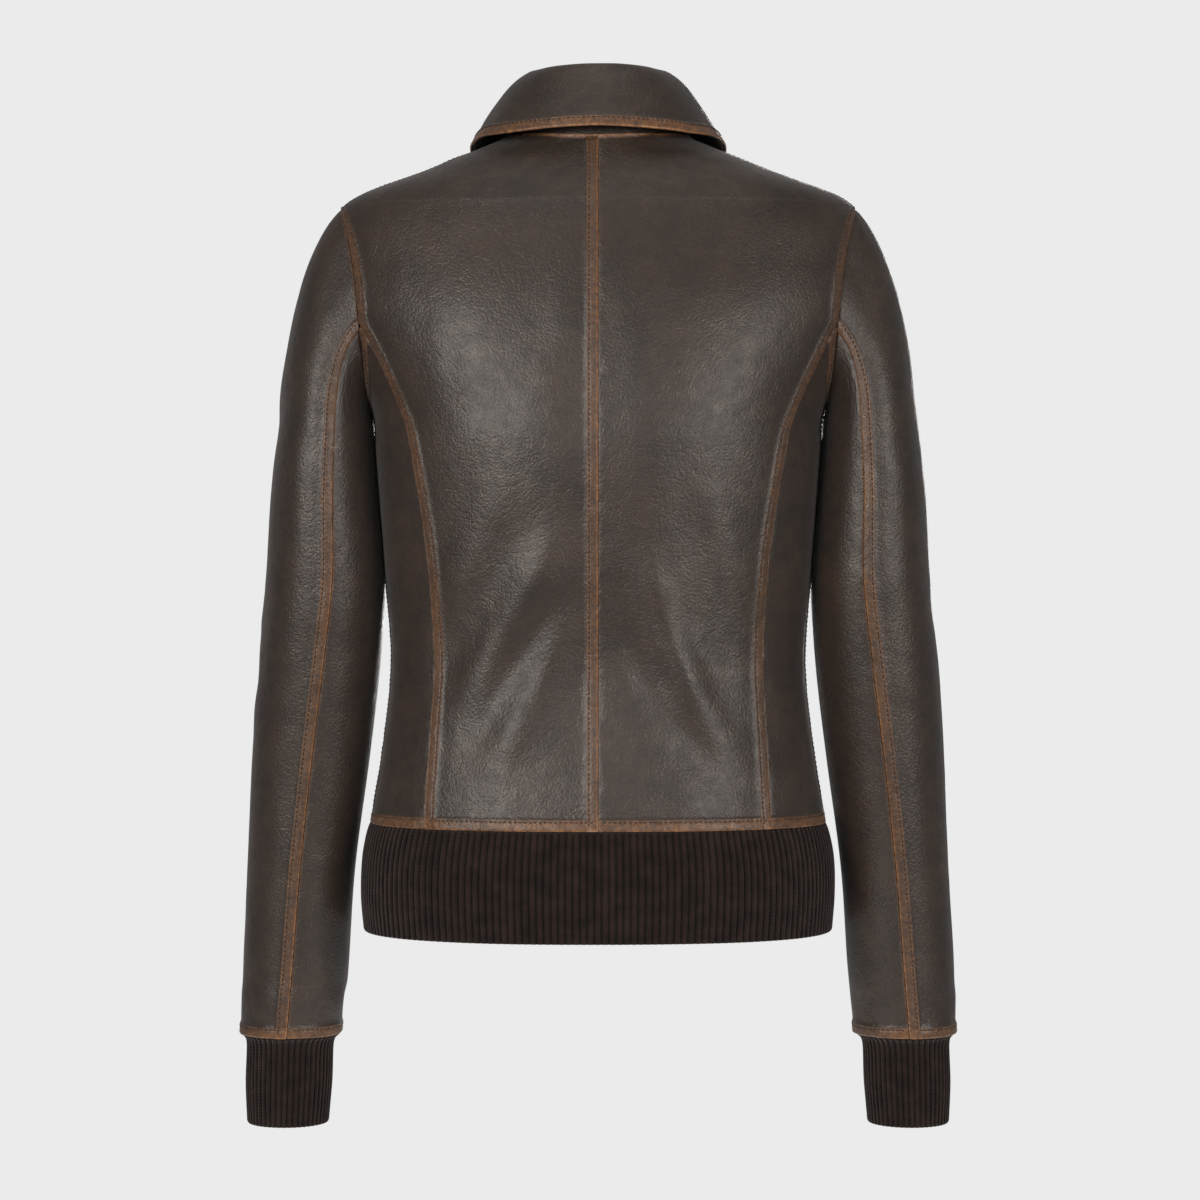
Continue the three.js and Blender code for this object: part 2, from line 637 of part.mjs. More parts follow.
function pullGeometry(width, length, rise) {
  const eye = new THREE.Shape().absarc(0, 0, 2.2, 0, 2 * Math.PI);
  eye.holes.push(new THREE.Path().absarc(0, 0, BAR_RADIUS + FIT, 0, 2 * Math.PI, true));
  const ring = new THREE.ExtrudeGeometry(eye, { depth: 2 * EYE_HALF, bevelEnabled: false, curveSegments: 7 })
    .translate(0, 0, -EYE_HALF).rotateY(Math.PI / 2);
  const half = PULL_THICKNESS / 2;
  const neck = box([-EYE_HALF, -half, -6], [EYE_HALF, half, -1.6]);
  const plate = box([-width / 2, -half, -length], [width / 2, half, -5]);
  return joined(ring, neck, plate).translate(0, rise, 0);
}

// ---------------------------------------------------------------- front zip

const zipTopZ = NECK_RISE - FRONT_NECK_DROP;
const zipLength = (zipTopZ - HEM_Z + WAISTBAND_HEIGHT) / Math.cos(Math.atan(FRONT_SLOPE));
const frontZip = new THREE.Group();
frontZip.position.set(0, centreFront(zipTopZ), zipTopZ);
frontZip.rotation.x = Math.atan(FRONT_SLOPE);
pattern.add(frontZip);

const TAPE_TOP = -LEATHER - 2 * FIT;
const CHAIN_EDGE = 2.6;
const CHAIN_SIDE = 4.4;
const CHAIN_BOTTOM = TAPE_TOP + FIT;
const CHAIN_TOP = 0.6;
const STOP_LENGTH = 3;
const STOP_START = 2.6;
const BOX_LENGTH = 9;
const BOX_START = 3; // the retainer box stands this far above the tape's end
const chainTop = -(STOP_START + STOP_LENGTH + FIT);
const chainBottom = -zipLength + BOX_START + BOX_LENGTH + FIT;

// One side of the chain: teeth that reach over the middle, on a spine beside the tape's edge.
function comb(phase, bottom) {
  const points = [[CHAIN_SIDE, bottom], [CHAIN_SIDE, chainTop], [CHAIN_EDGE, chainTop]];
  const tooth = TOOTH_PITCH * 0.4;
  for (let z = chainTop - TOOTH_PITCH * phase; z - tooth > bottom; z -= TOOTH_PITCH) {
    points.push([CHAIN_EDGE, z], [-CHAIN_EDGE + 2 * FIT, z], [-CHAIN_EDGE + 2 * FIT, z - tooth], [CHAIN_EDGE, z - tooth]);
  }
  points.push([CHAIN_EDGE, bottom]);
  return new THREE.ExtrudeGeometry(outline(points), { depth: CHAIN_TOP - CHAIN_BOTTOM, bevelEnabled: false })
    .rotateX(Math.PI / 2).translate(0, CHAIN_TOP, 0);
}

const PIN_LENGTH = 8;
const TAPE_EDGE = 15;
const TAPE_TAPER = 45; // the tape's outer edge is cut away over this length under the collar
const tapeOutline = outline([
  [CHAIN_EDGE - 0.4, -zipLength + 1], [TAPE_EDGE, -zipLength + 1], [TAPE_EDGE, -TAPE_TAPER],
  [TAPE_EDGE - 6, -1], [CHAIN_EDGE - 0.4, -1],
]);
const tapeStrip = new THREE.ExtrudeGeometry(tapeOutline, { depth: TAPE, bevelEnabled: false })
  .rotateX(Math.PI / 2).translate(0, TAPE_TOP, 0);
const topStop = box([CHAIN_EDGE, CHAIN_BOTTOM, -STOP_START - STOP_LENGTH], [CHAIN_SIDE, CHAIN_TOP, -STOP_START]);
add("zip_tape_right", tapeStrip, tape, frontZip);
add("zip_tape_left", mirrored(tapeStrip), tape, frontZip);
add("zip_teeth_right", comb(0.1, chainBottom + PIN_LENGTH + FIT), brass, frontZip);
add("zip_teeth_left", mirrored(comb(0.6, chainBottom)), brass, frontZip);
add("zip_top_stop_right", topStop, brass, frontZip);
add("zip_top_stop_left", mirrored(topStop), brass, frontZip);
add("zip_pin", box([CHAIN_EDGE, CHAIN_BOTTOM, chainBottom], [CHAIN_SIDE, CHAIN_TOP, chainBottom + PIN_LENGTH]), brass, frontZip);
add("zip_retainer_box", box(
  [-CHAIN_SIDE - 1, CHAIN_BOTTOM, -zipLength + BOX_START], [CHAIN_SIDE + 1, CHAIN_TOP + 0.6, chainBottom - FIT],
), brass, frontZip);

const SLIDE_CLEARANCE = 0.4;
const frontSlider = {
  inner: CHAIN_SIDE + SLIDE_CLEARANCE, wall: 1.3, foot: TAPE_TOP + 0.5,
  ceiling: CHAIN_TOP + SLIDE_CLEARANCE, roof: CHAIN_TOP + SLIDE_CLEARANCE + 1.4, length: SLIDER_LENGTH,
};
const sliderZ = chainTop - SLIDER_LENGTH / 2;
add("zip_slider", sliderGeometry(frontSlider).translate(0, 0, sliderZ), brass, frontZip);
add("zip_pull", pullGeometry(8, PULL_LENGTH, frontSlider.roof + BAR_RISE).translate(0, 0, sliderZ), brass, frontZip);

// ---------------------------------------------------------------- slanted zip pockets

const WELT_HALF = 11;
const WELT_THICKNESS = 1.6;
const WELT_END = 10;
const SLOT_HALF = 4.2;
const POCKET_PULL = 22;

function levelAtHeight(z) {
  let v = 0;
  while (through(bodyLevels.z, v) < z) v += 0.01;
  return v;
}

const pocketLevel = levelAtHeight(HEM_Z + POCKET_ABOVE_HEM);
const pocketAngle = angleAt(bodyLevels, POCKET_OUT, pocketLevel);
const pocketNormal = outward(bodyPoint, pocketAngle, pocketLevel);
const pocketFrame = new THREE.Matrix4();
{
  const across = new THREE.Vector3(0, 0, 1).cross(pocketNormal).negate().normalize();
  const up = across.clone().cross(pocketNormal).normalize();
  across.applyAxisAngle(pocketNormal, -POCKET_TILT);
  up.applyAxisAngle(pocketNormal, -POCKET_TILT);
  pocketFrame.makeBasis(across, pocketNormal, up).setPosition(bodyPoint(pocketAngle, pocketLevel));
}

// The flat welt stands clear of the highest point of the curved front under it.
function highestUnder(halfWidth, halfLength) {
  const toLocal = pocketFrame.clone().invert();
  let highest = -Infinity;
  for (let a = -0.5; a <= 0.5; a += 0.02) {
    for (let v = -2; v <= 2; v += 0.05) {
      const level = Math.max(0, pocketLevel + v);
      const local = bodyPoint(pocketAngle + a, level).applyMatrix4(toLocal);
      if (Math.abs(local.x) < halfWidth && Math.abs(local.z) < halfLength) {
        highest = Math.max(highest, local.y);
      }
    }
  }
  return highest;
}

const weltFoot = highestUnder(WELT_HALF, POCKET_LENGTH / 2 + WELT_END) + FIT;
const weltOutline = outline([[-WELT_HALF, -1], [WELT_HALF, -1], [WELT_HALF, 1], [-WELT_HALF, 1]]
  .map(([x, side]) => [x, side * (POCKET_LENGTH / 2 + WELT_END)]));
const slot = [[-SLOT_HALF, -1], [-SLOT_HALF, 1], [SLOT_HALF, 1], [SLOT_HALF, -1]]
  .map(([x, side]) => new THREE.Vector2(x, (side * POCKET_LENGTH) / 2));
weltOutline.holes.push(new THREE.Path(slot));
const welt = new THREE.ExtrudeGeometry(weltOutline, { depth: WELT_THICKNESS, bevelEnabled: false })
  .rotateX(Math.PI / 2).translate(0, weltFoot + WELT_THICKNESS, 0);

const pocketChainHalf = 2.2;
const pocketTape = SLOT_HALF - FIT;
const chainFoot = weltFoot + TAPE;
const pocketChain = drawn([
  [-pocketTape, weltFoot], [pocketTape, weltFoot], [pocketTape, chainFoot], [pocketChainHalf, chainFoot],
  [pocketChainHalf, chainFoot + 1.5], [-pocketChainHalf, chainFoot + 1.5], [-pocketChainHalf, chainFoot],
  [-pocketTape, chainFoot],
], -POCKET_LENGTH / 2 + FIT, POCKET_LENGTH / 2 - FIT);
const pocketSlider = {
  inner: pocketChainHalf + SLIDE_CLEARANCE, wall: 1, foot: chainFoot + SLIDE_CLEARANCE,
  ceiling: chainFoot + 1.5 + SLIDE_CLEARANCE, roof: chainFoot + 3.1, length: SLIDER_LENGTH - 3,
};
const pocketSliderZ = POCKET_LENGTH / 2 - pocketSlider.length / 2 - 1;

function addPocketPart(name, geometry, material) {
  addPair(name, geometry.applyMatrix4(pocketFrame), material);
}

addPocketPart("pocket_welt", welt, rubbedLeather);
addPocketPart("pocket_zip_teeth", pocketChain, brass);
addPocketPart("pocket_slider", sliderGeometry(pocketSlider).translate(0, 0, pocketSliderZ), brass);
addPocketPart("pocket_pull", pullGeometry(7, POCKET_PULL, pocketSlider.roof + BAR_RISE)
  .translate(0, 0, pocketSliderZ), brass);

const bagOuter = (v) => angleAt(bodyLevels, PRINCESS_WAIST - 6, v);
const bagInner = (v) => angleAt(bodyLevels, PRINCESS_WAIST - 58, v);
const bagLayer = { from: LEATHER + FIT + 0.15, to: LEATHER + FIT + BAG };
addPair("pocket_bag", panel([[bagOuter, bagInner, 4]], 0.7, 2.7, bagLayer), satin);

// ---------------------------------------------------------------- hung by the loop

pattern.position.copy(hookPoint).negate();
jacket.updateMatrixWorld(true);

// ---------------------------------------------------------------- how it moves

const hung = (point) => point.clone().add(pattern.position).toArray();
const ofZip = (point) => point.clone().applyMatrix4(frontZip.matrixWorld).toArray();
const ofPocket = (point) => hung(point.clone().applyMatrix4(pocketFrame));
const turned = (matrix, x, y, z) => new THREE.Vector3(x, y, z).transformDirection(matrix).toArray();

// Each joint of the right side and the middle: where it turns, and along what it turns or slides.
jacket.userData.joints = {
  sleeve_lift: { at: hung(sleevePoint(0, LIFT_LEVEL)), axis: [0, -1, 0] },
  zip_slide: { axis: turned(frontZip.matrixWorld, 0, 0, -1), travel: sliderZ - chainBottom - SLIDER_LENGTH / 2 - 1 },
  zip_pull_swing: { at: ofZip(new THREE.Vector3(0, frontSlider.roof + BAR_RISE, sliderZ)), axis: [1, 0, 0] },
  pocket_slide: { axis: turned(pocketFrame, 0, 0, -1), travel: POCKET_LENGTH - pocketSlider.length - 3 },
  pocket_pull_swing: {
    at: ofPocket(new THREE.Vector3(0, pocketSlider.roof + BAR_RISE, pocketSliderZ)),
    axis: turned(pocketFrame, 1, 0, 0),
  },
};

export default jacket;
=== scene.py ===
# A short leather riding jacket in distressed dark brown leather, hung up empty.
#
# The form is drawn in millimetres about the body's axis, with height 0 at the back neck seam, as
# a pattern cutter would draft it. Panels are cut from that form, creased, sewn and finished.

import json
import math

import bpy
import numpy as np
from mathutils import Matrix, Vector


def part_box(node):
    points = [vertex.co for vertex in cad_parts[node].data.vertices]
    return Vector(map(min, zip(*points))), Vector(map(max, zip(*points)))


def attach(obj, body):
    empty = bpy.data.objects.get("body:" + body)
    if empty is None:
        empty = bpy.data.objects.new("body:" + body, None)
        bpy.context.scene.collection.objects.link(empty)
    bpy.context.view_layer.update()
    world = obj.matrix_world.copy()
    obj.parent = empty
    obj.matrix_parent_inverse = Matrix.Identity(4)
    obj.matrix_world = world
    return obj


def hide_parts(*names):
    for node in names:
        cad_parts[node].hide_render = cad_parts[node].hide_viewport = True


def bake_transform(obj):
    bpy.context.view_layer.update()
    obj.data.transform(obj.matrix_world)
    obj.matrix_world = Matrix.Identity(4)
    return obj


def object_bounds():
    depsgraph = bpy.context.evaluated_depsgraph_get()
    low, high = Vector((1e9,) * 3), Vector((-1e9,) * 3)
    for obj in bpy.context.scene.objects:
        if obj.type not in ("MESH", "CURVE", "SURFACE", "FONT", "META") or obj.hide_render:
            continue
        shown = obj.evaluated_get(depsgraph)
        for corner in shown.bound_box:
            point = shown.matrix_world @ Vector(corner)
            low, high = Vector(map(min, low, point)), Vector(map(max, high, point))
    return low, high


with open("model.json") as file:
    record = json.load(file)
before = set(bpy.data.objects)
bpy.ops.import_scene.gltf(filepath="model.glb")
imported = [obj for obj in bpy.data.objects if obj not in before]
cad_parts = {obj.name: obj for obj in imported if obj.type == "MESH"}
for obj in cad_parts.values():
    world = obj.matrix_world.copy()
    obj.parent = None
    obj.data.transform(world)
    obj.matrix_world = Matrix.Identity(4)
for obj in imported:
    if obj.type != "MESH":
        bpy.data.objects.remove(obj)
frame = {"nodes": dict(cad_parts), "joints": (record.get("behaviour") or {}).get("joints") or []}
cad_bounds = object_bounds()

MM = 0.001

# ---------------------------------------------------------------- where the pattern lies

AXIS_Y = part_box("side_back_panel_right")[1][1] / MM  # the body's axis runs down its side seams
NECK_RISE = 5
NECK_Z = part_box("back_panel_right")[1][2] / MM - NECK_RISE + 0.1
PATTERN = np.array([0.0, AXIS_Y, NECK_Z])

LEATHER = 1.2
LINING = 0.5
RIB = 2.6

# ---------------------------------------------------------------- curves and noise


def through(values, t):
    """A smooth line through evenly numbered values."""
    values = np.asarray(values, float)
    t = np.asarray(t, float)
    last = len(values) - 1
    i = np.clip(np.floor(t), 0, last - 1).astype(int)
    f = t - i
    b = values[i]
    c = values[i + 1]
    a = np.where(i > 0, values[np.maximum(i - 1, 0)], 2 * b - c)
    d = np.where(i + 2 <= last, values[np.minimum(i + 2, last)], 2 * c - b)
    return b + 0.5 * f * (c - a + f * (2 * a - 5 * b + 4 * c - d + f * (3 * (b - c) + d - a)))


def mix(a, b, f):
    return a + (b - a) * f


def rounded(value, power):
    return np.sign(value) * np.abs(value) ** power


def smooth(low, high, value):
    t = np.clip((value - low) / (high - low), 0, 1)
    return t * t * (3 - 2 * t)


def lattice(cell, seed):
    """A repeatable random value between -1 and 1 for each whole-numbered cell."""
    h = cell[..., 0] * 374761393 + cell[..., 1] * 668265263 + cell[..., 2] * 1440662683 + seed * 97531
    h = h & 0xFFFFFFFF
    h = ((h ^ (h >> 13)) * 1274126177) & 0xFFFFFFFF
    return ((h ^ (h >> 16)) & 0xFFFF) / 32767.5 - 1


def waves(points, size, seed):
    """Soft random waves between -1 and 1, a given size in millimetres across."""
    p = np.asarray(points, float) / np.asarray(size, float)
    cell = np.floor(p).astype(np.int64)
    f = p - cell
    f = f * f * f * (f * (f * 6 - 15) + 10)
    total = 0
    for corner in np.ndindex(2, 2, 2):
        weight = np.prod(np.where(np.array(corner) == 1, f, 1 - f), axis=-1)
        total = total + weight * lattice(cell + np.array(corner), seed)
    return total


# ---------------------------------------------------------------- the body's form

BACK_LENGTH = 485
HEM_Z = -BACK_LENGTH
WAIST_Z = HEM_Z + 116
CHEST_Z = -224
FRONT_NECK_DROP = 80
FRONT_AT_NECK = 82
FRONT_SLOPE = 0.045
ARMPIT, CROSS, SHOULDER, NECK = 5, 6, 8, 10
SIDE_PANEL_TOP = CROSS - 0.07
LEVELS = np.arange(0, ARMPIT + 0.01, 0.05)

BODY = {
    "z": [HEM_Z, mix(HEM_Z, WAIST_Z, 0.47), WAIST_Z, mix(WAIST_Z, CHEST_Z, 0.47), CHEST_Z,
          -190, -131, -90, -45, -17, NECK_RISE],
    "half": [162.5, mix(162.5, 148, 0.6), 148, mix(148, 159, 0.45), 159, 162, 187, 192, 184, 121, 68],
    "back": [112, mix(112, 100, 0.65), 100, mix(100, 115, 0.55), 115, 113, 105, 95, 79, 68, 60],
    "drop": [-FRONT_NECK_DROP * s for s in (0, 0, 0, 0, 0, 0.12, 0.36, 0.52, 0.75, 0.91, 1)],
    "dip": [NECK_RISE * s for s in (0, 0, 0, 0, 0, 0, 0, 0, 0, -0.4, -1)],
    "square": [2.4, 2.4, 2.4, 2.4, 2.4, 2.4, 2.4, 2.35, 2.3, 2.2, 2.1],
}
ARMHOLE_HALF = [162, 168, 173, 184]
PRINCESS_HALF = [120, mix(120, 114.5, 0.55), 114.5, mix(114.5, 129.5, 0.27), 129.5, 139, 168]

BAND_HEIGHT = 77
BAND_HALF = 165.5
WAISTBAND = {
    "z": [HEM_Z - BAND_HEIGHT * s for s in (0, 0.33, 0.67, 1)],
    "half": [162.5, BAND_HALF + 1.5, BAND_HALF + 2, BAND_HALF],
    "back": [112, 115.5, 116, 114],
    "drop": [0, 0, 0, 0],
    "dip": [0, 0, 0, 0],
    "square": [2.4, 2.4, 2.4, 2.4],
}


def centre_front(z):
    return FRONT_AT_NECK - FRONT_SLOPE * (z + FRONT_NECK_DROP)


def form_point(levels, angle, v):
    """Angle 0 is the right side, -90 degrees the back and 90 the front."""
    at = {name: through(levels[name], v) for name in levels}
    sine = np.sin(angle)
    front = np.maximum(0, sine) ** 1.6
    back = np.maximum(0, -sine) ** 2
    depth = np.where(sine > 0, centre_front(at["z"] + at["drop"]), at["back"])
    power = 2 / at["square"]
    z = at["z"] + at["drop"] * front + at["dip"] * back
    x = at["half"] * rounded(np.cos(angle), power)
    return np.stack([x, depth * rounded(sine, power), z + 0 * sine], -1)


def body_point(angle, v):
    return form_point(BODY, angle, v)


def waistband_point(angle, v):
    return form_point(WAISTBAND, angle, v)


def angle_at(levels, x, v):
    """The angle at which the form is this far out to the side."""
    share = np.clip(x / through(levels["half"], v), 0, 1)
    return np.arccos(share ** (through(levels["square"], v) / 2))


def armhole_angle(v):
    inside = (v > ARMPIT) & (v < SHOULDER)
    return np.where(inside, angle_at(BODY, through(ARMHOLE_HALF, v - ARMPIT), v), 0.0)


def princess_angle(v):
    return angle_at(BODY, through(PRINCESS_HALF, v), v)


def centre_panel_side(v):
    return np.where(v < CROSS, princess_angle(v), armhole_angle(v))


# ---------------------------------------------------------------- the sleeve's form

SLEEVE_TOP = -196.0
WRIST_Z = -640.0
SLEEVE_SHARES = (0, 0.12, 0.26, 0.39, 0.55, 0.73, 0.89, 1)
CLEARANCE, WRIST_CLEARANCE = 1.5, 21
WRIST_FORWARD = 24


def body_half_at(z):
    halves = through(BODY["half"], LEVELS)
    return BAND_HALF if z < HEM_Z else float(np.interp(z, through(BODY["z"], LEVELS), halves))


SLEEVE = {
    "z": [mix(SLEEVE_TOP, WRIST_Z, s) for s in SLEEVE_SHARES],
    "outside": [mix(229.5, 259.5, s) for s in (0, 0.18, 0.3, 0.5, 0.66, 0.79, 0.93, 1)],
    "depth": [60, 57.25, 53.4, 49, 44.5, 41.8, 40, 39],
    "forward": [WRIST_FORWARD * s for s in (-0.08, -0.12, -0.12, 0, 0.22, 0.52, 0.8, 1)],
}
SLEEVE["inside"] = [
    body_half_at(z) + mix(CLEARANCE, WRIST_CLEARANCE, s)
    for z, s in zip(SLEEVE["z"], (0, 0, 0, 0.36, 0.43, 0.46, 0.73, 1))
]


def sleeve_ring(angle, t):
    """Angle 0 is the sleeve's outer line, 90 degrees its back and 180 its inner line."""
    at = {name: through(SLEEVE[name], t) for name in SLEEVE}
    middle = (at["outside"] + at["inside"]) / 2
    width = (at["outside"] - at["inside"]) / 2
    power = 2 / 2.15
    x = middle + width * rounded(np.cos(angle), power)
    y = at["forward"] - at["depth"] * rounded(np.sin(angle), power)
    return np.stack([x, y, at["z"] + 0 * x], -1)


def armhole_point(angle):
    v = SHOULDER - (SHOULDER - ARMPIT) * (1 - np.cos(angle)) / 2
    return body_point(-np.sign(np.sin(angle)) * armhole_angle(v), v)


HEAD_START = np.array([0.72, 0, -0.69])
HEAD_FULLNESS = 0.8


def sleeve_point(angle, t):
    """The head runs from the armhole (0) to the first ring (1), and the tube from there on."""
    angle, t = np.broadcast_arrays(np.asarray(angle, float), np.asarray(t, float))
    start = armhole_point(angle) + HEAD_START * 0.6
    end = sleeve_ring(angle, 0 * t)
    span = np.linalg.norm(end - start, axis=-1, keepdims=True)
    arrive = sleeve_ring(angle, 0 * t + 0.05) - end
    arrive = arrive / np.linalg.norm(arrive, axis=-1, keepdims=True) * span
    s = np.clip(t, 0, 1)[..., None]
    h = s * s * (3 - 2 * s)
    fullness = HEAD_START * HEAD_FULLNESS * span * s * (1 - s) ** 2
    head = start * (1 - h) + end * h + fullness - arrive * s * s * (1 - s)
    return np.where((t >= 1)[..., None], sleeve_ring(angle, np.maximum(t - 1, 0)), head)


def back_seam(t):
    return np.radians(through([114, 108, 104, 101, 98, 95, 93, 91, 90], t))


def front_seam(t):
    return np.radians(through([236, 240, 244, 247, 250, 252, 253, 254, 255], t))


# ---------------------------------------------------------------- the collar's and cuffs' forms

STAND_HEIGHT = 45
FOLD = [(0, -56, 48.5), (39, -41, 47.5), (53, -2, 44), (46, 46, 12), (9, 75, -48)]
EDGE = [(0, -77, 3.6), (62, -60, 1), (89, -6, 0), (84, 48, -22), (52, 94, -112)]
ZIP_HALF_GAP = 8


def station(stations, t):
    every = [(-x, y, z) for x, y, z in stations[:0:-1]] + list(stations)
    return np.stack([through([p[k] for p in every], 4 + 4 * np.asarray(t, float)) for k in range(3)], -1)


def neck_seam(t):
    t = np.asarray(t, float)
    ends = angle_at(BODY, ZIP_HALF_GAP, NECK)
    point = body_point(mix(-math.pi / 2, ends, np.abs(t)), NECK + 0 * t)
    point[..., 0] *= np.where(t < 0, -1, 1)
    return point


def stand_point(t, w):
    t, w = np.broadcast_arrays(np.asarray(t, float), np.asarray(w, float))
    return mix(neck_seam(t), station(FOLD, t), w[..., None])


def fall_point(t, w):
    t, w = np.broadcast_arrays(np.asarray(t, float), np.asarray(w, float))
    fold = station(FOLD, t)
    edge = station(EDGE, t)
    roll = mix(fold, edge, 0.42)
    roll[..., 2] = mix(fold[..., 2], edge[..., 2], 0.14)
    w = w[..., None]
    return fold * (1 - w) ** 2 + roll * 2 * w * (1 - w) + edge * w * w


CUFF_LENGTH = 66
WRIST_HALF = (SLEEVE["outside"][-1] - SLEEVE["inside"][-1]) / 2
WRIST_MIDDLE = (SLEEVE["outside"][-1] + SLEEVE["inside"][-1]) / 2
CUFF = {
    "z": [WRIST_Z - s for s in (0.7, 8, CUFF_LENGTH * 0.55, CUFF_LENGTH)],
    "width": [WRIST_HALF - 0.6, WRIST_HALF - 5, 31.5, 29.5],
    "depth": [38.4, 34, 33, 31],
}


def cuff_point(angle, t):
    angle, t = np.broadcast_arrays(np.asarray(angle, float), np.asarray(t, float))
    at = {name: through(CUFF[name], t) for name in CUFF}
    x = WRIST_MIDDLE + t + at["width"] * np.cos(angle)
    return np.stack([x, WRIST_FORWARD + t - at["depth"] * np.sin(angle), at["z"]], -1)


# ---------------------------------------------------------------- cutting a panel from a form

BAND = 6.2  # from a folded edge or seam to its row of stitches
EDGE_STEPS = np.array([0, 0.25, 0.6, 1.1, 1.9, 3.2, 4.6, 5.5, BAND, 6.9, 7.6, 8.6, 10.2, 12.4, 15])
STITCH_COLUMN = 8


def spaced(length, step, both=True):
    """Places along a line of this length, close together along its sewn ends."""
    near = EDGE_STEPS * min(1, 0.4 * length / EDGE_STEPS[-1])
    ends = 2 if both else 1
    inner = max(2, int(round((length - ends * near[-1]) / step)))
    middle = np.linspace(near[-1], length - (ends - 1) * near[-1], inner + 1)[1:-1 if both else None]
    return np.concatenate([near, middle, length - near[::-1]] if both else [near, middle])


def normals(surface, u, v):
    step = 1e-3
    du = surface(u + step, v) - surface(u - step, v)
    dv = surface(u, v + step) - surface(u, v - step)
    n = np.cross(du, dv)
    return n / np.linalg.norm(n, axis=-1, keepdims=True)


class Cut:
    """A grid of points over one panel, with each point's distance to the panel's four sides."""

    def __init__(self, surface, first, last, start, stop, step=2.6, kinks=()):
        middle = np.linspace(first, last, 900)
        line = surface((start(middle) + stop(middle)) / 2, middle)
        along = np.concatenate([[0], np.cumsum(np.linalg.norm(np.diff(line, axis=0), axis=1))])
        levels = np.interp(spaced(along[-1], step), along, middle)
        for kink in kinks:
            levels[np.argmin(np.abs(levels - kink))] = kink
        low, high = start(levels), stop(levels)
        fine = np.linspace(0, 1, 240)
        samples = low[:, None] + (high - low)[:, None] * fine
        points = surface(samples, levels[:, None])
        run = np.cumsum(np.linalg.norm(np.diff(points, axis=1), axis=2), axis=1)
        run = np.concatenate([np.zeros((len(levels), 1)), run], axis=1)
        places = spaced(run[:, -1].max(), step)
        edge = len(EDGE_STEPS)
        u = np.empty((len(levels), len(places)))
        for row, length in enumerate(run[:, -1]):
            squeeze = min(1, 0.4 * length / EDGE_STEPS[-1])
            near = EDGE_STEPS * squeeze
            inner = np.linspace(near[-1], length - near[-1], len(places) - 2 * edge + 2)[1:-1]
            wanted = np.concatenate([near, inner, length - near[::-1]])
            u[row] = np.interp(wanted, run[row], samples[row])
        self.v = np.repeat(levels[:, None], len(places), axis=1)
        self.u = u
        self.surface = surface
        self.points = surface(self.u, self.v)
        self.normals = normals(surface, self.u, self.v)
        across = np.linalg.norm(np.diff(self.points, axis=1), axis=2)
        upward = np.linalg.norm(np.diff(self.points, axis=0), axis=2)
        zero_column = np.zeros((len(levels), 1))
        zero_row = np.zeros((1, len(places)))
        self.from_start = np.concatenate([zero_column, np.cumsum(across, axis=1)], axis=1)
        self.from_stop = self.from_start[:, -1:] - self.from_start
        self.from_bottom = np.concatenate([zero_row, np.cumsum(upward, axis=0)], axis=0)
        self.from_top = self.from_bottom[-1:] - self.from_bottom

    def distance(self, side):
        return getattr(self, "from_" + side)

    def mirrored(self):
        twin = object.__new__(Cut)
        twin.__dict__.update(self.__dict__)
        flip = np.array([-1, 1, 1])
        twin.points = self.points * flip
        twin.normals = self.normals * flip
        return twin


# ---------------------------------------------------------------- sewn edges

BAND_RISE = 0.95  # the turned allowance lifts the leather by this much


def raised(d):
    """Over a folded-back allowance: a sharp edge and a flat band."""
    return BAND_RISE * (0.35 + 0.65 * smooth(0, 0.8, d)) * (1 - smooth(7.2, 9.6, d))


def stitch_dip(d):
    return -0.45 * np.exp(-(((d - BAND) / 0.75) ** 2))


def sunk(d):
    """The lower side of a seam, drawn down into it."""
    return -0.55 * np.exp(-d / 1.5)


def rub_raised(d, fill=0.2):
    """Rubbed bright along the folded edge, less along the stitches, and least between them."""
    crest = 1.1 * np.exp(-((d / 0.85) ** 2))
    stitch = 0.5 * np.exp(-(((d - BAND - 0.6) / 0.65) ** 2))
    band = fill * (1 - smooth(BAND, 8.4, d))
    return np.maximum(np.maximum(crest, stitch), band)


def rub_sunk(d):
    return 0.3 * np.exp(-((d / 0.9) ** 2))


def pucker(points, d):
    """Small waves that a row of stitches draws into the leather."""
    return 0.42 * waves(points, (7, 7, 7), 5) * np.exp(-np.maximum(d - 2, 0) / 7)


# ---------------------------------------------------------------- how the leather lies

# Soft folds: from and to (x, z), half width and height, in millimetres.
BACK_FOLDS = [
    ((-34, -292), (-92, -398), 15, 3.6), ((-22, -345), (-70, -440), 13, 2.7),
    ((36, -306), (66, -400), 14, 3.2), ((44, -350), (94, -438), 13, 2.8),
    ((-70, -250), (-104, -330), 13, 1.2), ((74, -244), (104, -322), 13, 1.1),
    ((-12, -120), (-40, -200), 24, 0.9), ((14, -140), (46, -210), 24, 0.9),
]
FRONT_FOLDS = [
    ((-110, -235), (-50, -300), 15, 1.8), ((110, -235), (54, -296), 15, 1.8),
    ((-40, -360), (-28, -450), 12, 1.4), ((40, -352), (30, -446), 12, 1.4),
    ((-30, -130), (-60, -190), 18, 1.2), ((30, -130), (62, -190), 18, 1.2),
]


